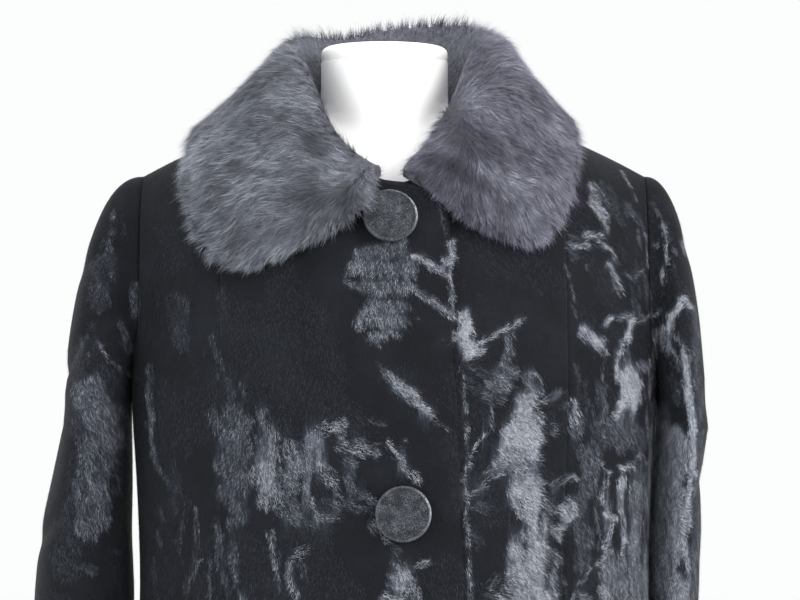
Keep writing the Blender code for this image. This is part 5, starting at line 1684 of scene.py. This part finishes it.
# %% The collar's hairs
def plush_hair(name, dark, middle, pale):
    """Long hairs: tone across the map's width, dark root to pale tip up its height."""
    s = Shader(name, Roughness=0.6, Specular_IOR_Level=0.15)
    tone, along = s.strand()
    amount = (tone * (0.27 + 0.95 * along)).clamp()
    return s.feed(Base_Color=s.ramp(amount, ((0.0, dark), (0.55, middle), (1.0, pale))))


start, way, above, lengths, tones, rises, station = grow_locks(31)
rng = np.random.default_rng(32)
PLUSHES = (     # (part, hairs): bluer on the wearer's right, darker behind as painted shade, lilac on the left
    ("right", plush_hair("plush_slate", (0.030, 0.033, 0.042), (0.178, 0.192, 0.225),
                         (0.462, 0.486, 0.540))),
    ("back", plush_hair("plush_back_painted_shade", (0.016, 0.017, 0.024), (0.084, 0.090, 0.117),
                        (0.275, 0.291, 0.348))),
    ("left", plush_hair("plush_lilac", (0.028, 0.028, 0.039), (0.160, 0.161, 0.212),
                        (0.440, 0.444, 0.530))),
)
third = COLLAR_SECTIONS / len(PLUSHES)
for index, (part, material) in enumerate(PLUSHES):
    pick = np.clip(station // third, 0, len(PLUSHES) - 1) == index
    curved = pick & (rng.random(len(pick)) < CURVED_SHARE)
    parts, corners = [], 0
    for chosen, steps in ((curved, 2), (pick & ~curved, 1)):
        count = int(chosen.sum())
        bend = HAIR_DROOP * rises[chosen] * rng.uniform(0.6, 1.2, count)
        points, faces, along, per = blades(
            start[chosen] - above[chosen] * HAIR_ROOT_SINK, way[chosen], above[chosen],
            lengths[chosen], HAIR_GIRTH * rng.uniform(0.7, 1.3, count), rises[chosen], bend,
            steps)
        shade = unit(above[chosen] + 0.35 * rng.normal(0, 1, (count, 3)))
        # Each hair point takes the painted shade and light of the strokes.
        tint = np.clip(np.repeat(tones[chosen], per) * shaded(points), 0.02, 1)
        uv = np.stack([tint, along], axis=-1)
        parts.append((points, faces + corners, uv, np.repeat(shade, per, axis=0)))
        corners += len(points)
    points, faces, uv, shade = (np.concatenate(column) for column in zip(*parts))
    make_mesh(f"collar_fur_{part}", points, faces, material, None, uv, shade)
    print(f"collar fur {part}: {int(pick.sum())} hairs, {len(faces)} triangles")

# %% [markdown]
# ## Buttons
# A covered button is a domed mould with a piece of the coat's own cloth drawn over it; the
# cloth bunches into a thin roll at the rim. Its profile is turned round its axis, and a painted
# highlight on the rim's upper right, where the pile would catch the key lamp, is a value on its
# points.

# %% Buttons
def cover_cloth():
    """Short pile over a mould: fine mottled charcoal, with a painted highlight on the rim."""
    s = Shader("cover_cloth", Roughness=0.6, Specular_IOR_Level=0.22)
    fleck = s.noise(1100.0, 3.0, 0.75)
    wide = s.noise(120.0, 2.0)
    colour = s.ramp((fleck * 0.75 + wide * 0.25).clamp(),
                    ((0.38, (0.004, 0.005, 0.007)), (0.50, (0.015, 0.0175, 0.023)),
                     (0.64, (0.120, 0.130, 0.154))))
    # Painted highlight: where the rim value and noise allow, a pale grey is mixed in.
    painted_glint = (s.attribute("rim") * (s.noise(950.0, 2.0) * 4.0 - 1.4)).clamp()
    return s.feed(Base_Color=s.mix(painted_glint, colour, (0.56, 0.59, 0.64, 1.0)),
                  Normal=s.bump(fleck, 0.8, 0.0006))


# %% The button's shape
BUTTON_COLUMNS = 72
RIM_HIGHLIGHT = (0.15, 0.45, 1.0, 0.75, 0.25)        # painted highlight on the rings over the rim
RIM_FIRST = 8           # the first of those rings
HIGHLIGHT_TURN, HIGHLIGHT_WIDTH = 14, 34                  # degrees


def button_profile():
    """Rows of (radius, height): the shank, the back, the rim's roll and the sunk face."""
    r, d, s = BUTTON_RADIUS, BUTTON_DEPTH, SHANK_HEIGHT
    return np.array([
        (0.0035, 0.0), (0.004, 0.0003), (0.004, s), (0.60 * r, s), (0.80 * r, s + 0.0001),
        (0.90 * r, 0.28 * d), (0.95 * r, 0.42 * d), (0.985 * r, 0.54 * d), (r, 0.66 * d),
        (r, 0.80 * d), (r - 0.30 * BUTTON_RIM, 0.94 * d), (r - 0.75 * BUTTON_RIM, 0.995 * d),
        (r - 1.2 * BUTTON_RIM, 0.995 * d), (r - 1.6 * BUTTON_RIM, 0.94 * d),
        (r - 1.9 * BUTTON_RIM, 0.885 * d), (r - 2.3 * BUTTON_RIM, 0.875 * d),
        (0.65 * r, 0.895 * d), (0.4 * r, 0.91 * d), (0.15 * r, 0.92 * d)])


def button_grid():
    """The profile turned round: radius times cosine and sine, and its height."""
    profile = button_profile()
    angle = np.linspace(0, 2 * math.pi, BUTTON_COLUMNS, endpoint=False)
    radius, height = profile[:, :1], profile[:, 1:]
    return np.stack([radius * np.cos(angle), radius * np.sin(angle), height + 0 * angle], axis=-1)


def painted_rim_highlight():
    """A painted highlight on the rim's upper right, towards the key lamp: a bell over the turn,
    weighted on each ring.

    The last two values are the middles of the two ends.
    """
    rings = np.zeros(len(button_profile()))
    rings[RIM_FIRST:RIM_FIRST + len(RIM_HIGHLIGHT)] = RIM_HIGHLIGHT
    turn = np.linspace(0, 360, BUTTON_COLUMNS, endpoint=False)
    apart = (turn - HIGHLIGHT_TURN + 180) % 360 - 180
    shine = 0.10 + 0.80 * np.exp(-(apart / HIGHLIGHT_WIDTH) ** 2)
    return np.concatenate([(rings[:, None] * shine).ravel(), [0.0, 0.0]])


# %% The three buttons
COVER_CLOTH = cover_cloth()
for number, (x, height, tilt) in enumerate(BUTTONS, start=1):
    turn = float(ring_turn(x / CHEST_HALF))
    level = height - CHEST_Z if height < CHEST_Z else float(arch_at(turn, height))
    normal = coat_normal(turn, level)
    spin = math.radians(tilt)
    seat = coat_point(turn, level) + normal * (OVERLAP_LIFT + 2 * GAP)
    seat = seat + normal * BUTTON_RADIUS * math.sin(spin) * 0.25
    forward = np.array([normal[0] * math.cos(spin) - normal[1] * math.sin(spin),
                        normal[0] * math.sin(spin) + normal[1] * math.cos(spin), normal[2]])
    across = unit(np.cross(np.array([0, 0, 1.0]), forward))
    axes = np.stack([across, np.cross(forward, across), forward])
    points, faces = capped(button_grid())
    # The rim attribute carries the painted highlight.
    made = make_mesh(f"button_{number}_cover", seat + points @ axes, faces, COVER_CLOTH,
                     {"rim": painted_rim_highlight()})
    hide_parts(f"button_{number}")
print("buttons", len(BUTTONS))

# %% [markdown]
# ## The floor and the remaining solids
# The form stands on a plain pale floor, a wide disc that belongs to the stage and not to the
# object. The pole and base keep their solids and wear brushed steel.

# %% Floor and stand
FLOOR_REACH, FLOOR_Z, FLOOR_SIDES = 5.0, -0.002, 64


def pale_paper():
    """The floor: matt and nearly white."""
    s = Shader("paper", Roughness=0.9)
    return s.feed(Base_Color=s.ramp(s.noise(0.7, 2.0), ((0.0, (0.84, 0.85, 0.86)),
                                                        (1.0, (0.88, 0.89, 0.90)))))


turn = np.linspace(0, 2 * math.pi, FLOOR_SIDES, endpoint=False)
rim = np.stack([FLOOR_REACH * np.cos(turn), FLOOR_REACH * np.sin(turn), FLOOR_Z + 0 * turn],
               axis=-1)
mesh = bpy.data.meshes.new("floor")
mesh.from_pydata(rim.tolist(), [], [list(range(len(rim)))])
mesh.materials.append(pale_paper())
floor = bpy.data.objects.new("floor", mesh)
bpy.context.scene.collection.objects.link(floor)

for name in ("form_pole", "form_base"):
    solid = bpy.data.objects[name]
    solid.data.materials.clear()
    solid.data.materials.append(BRUSHED_STEEL)
print("floor", 2 * FLOOR_REACH, "m across")
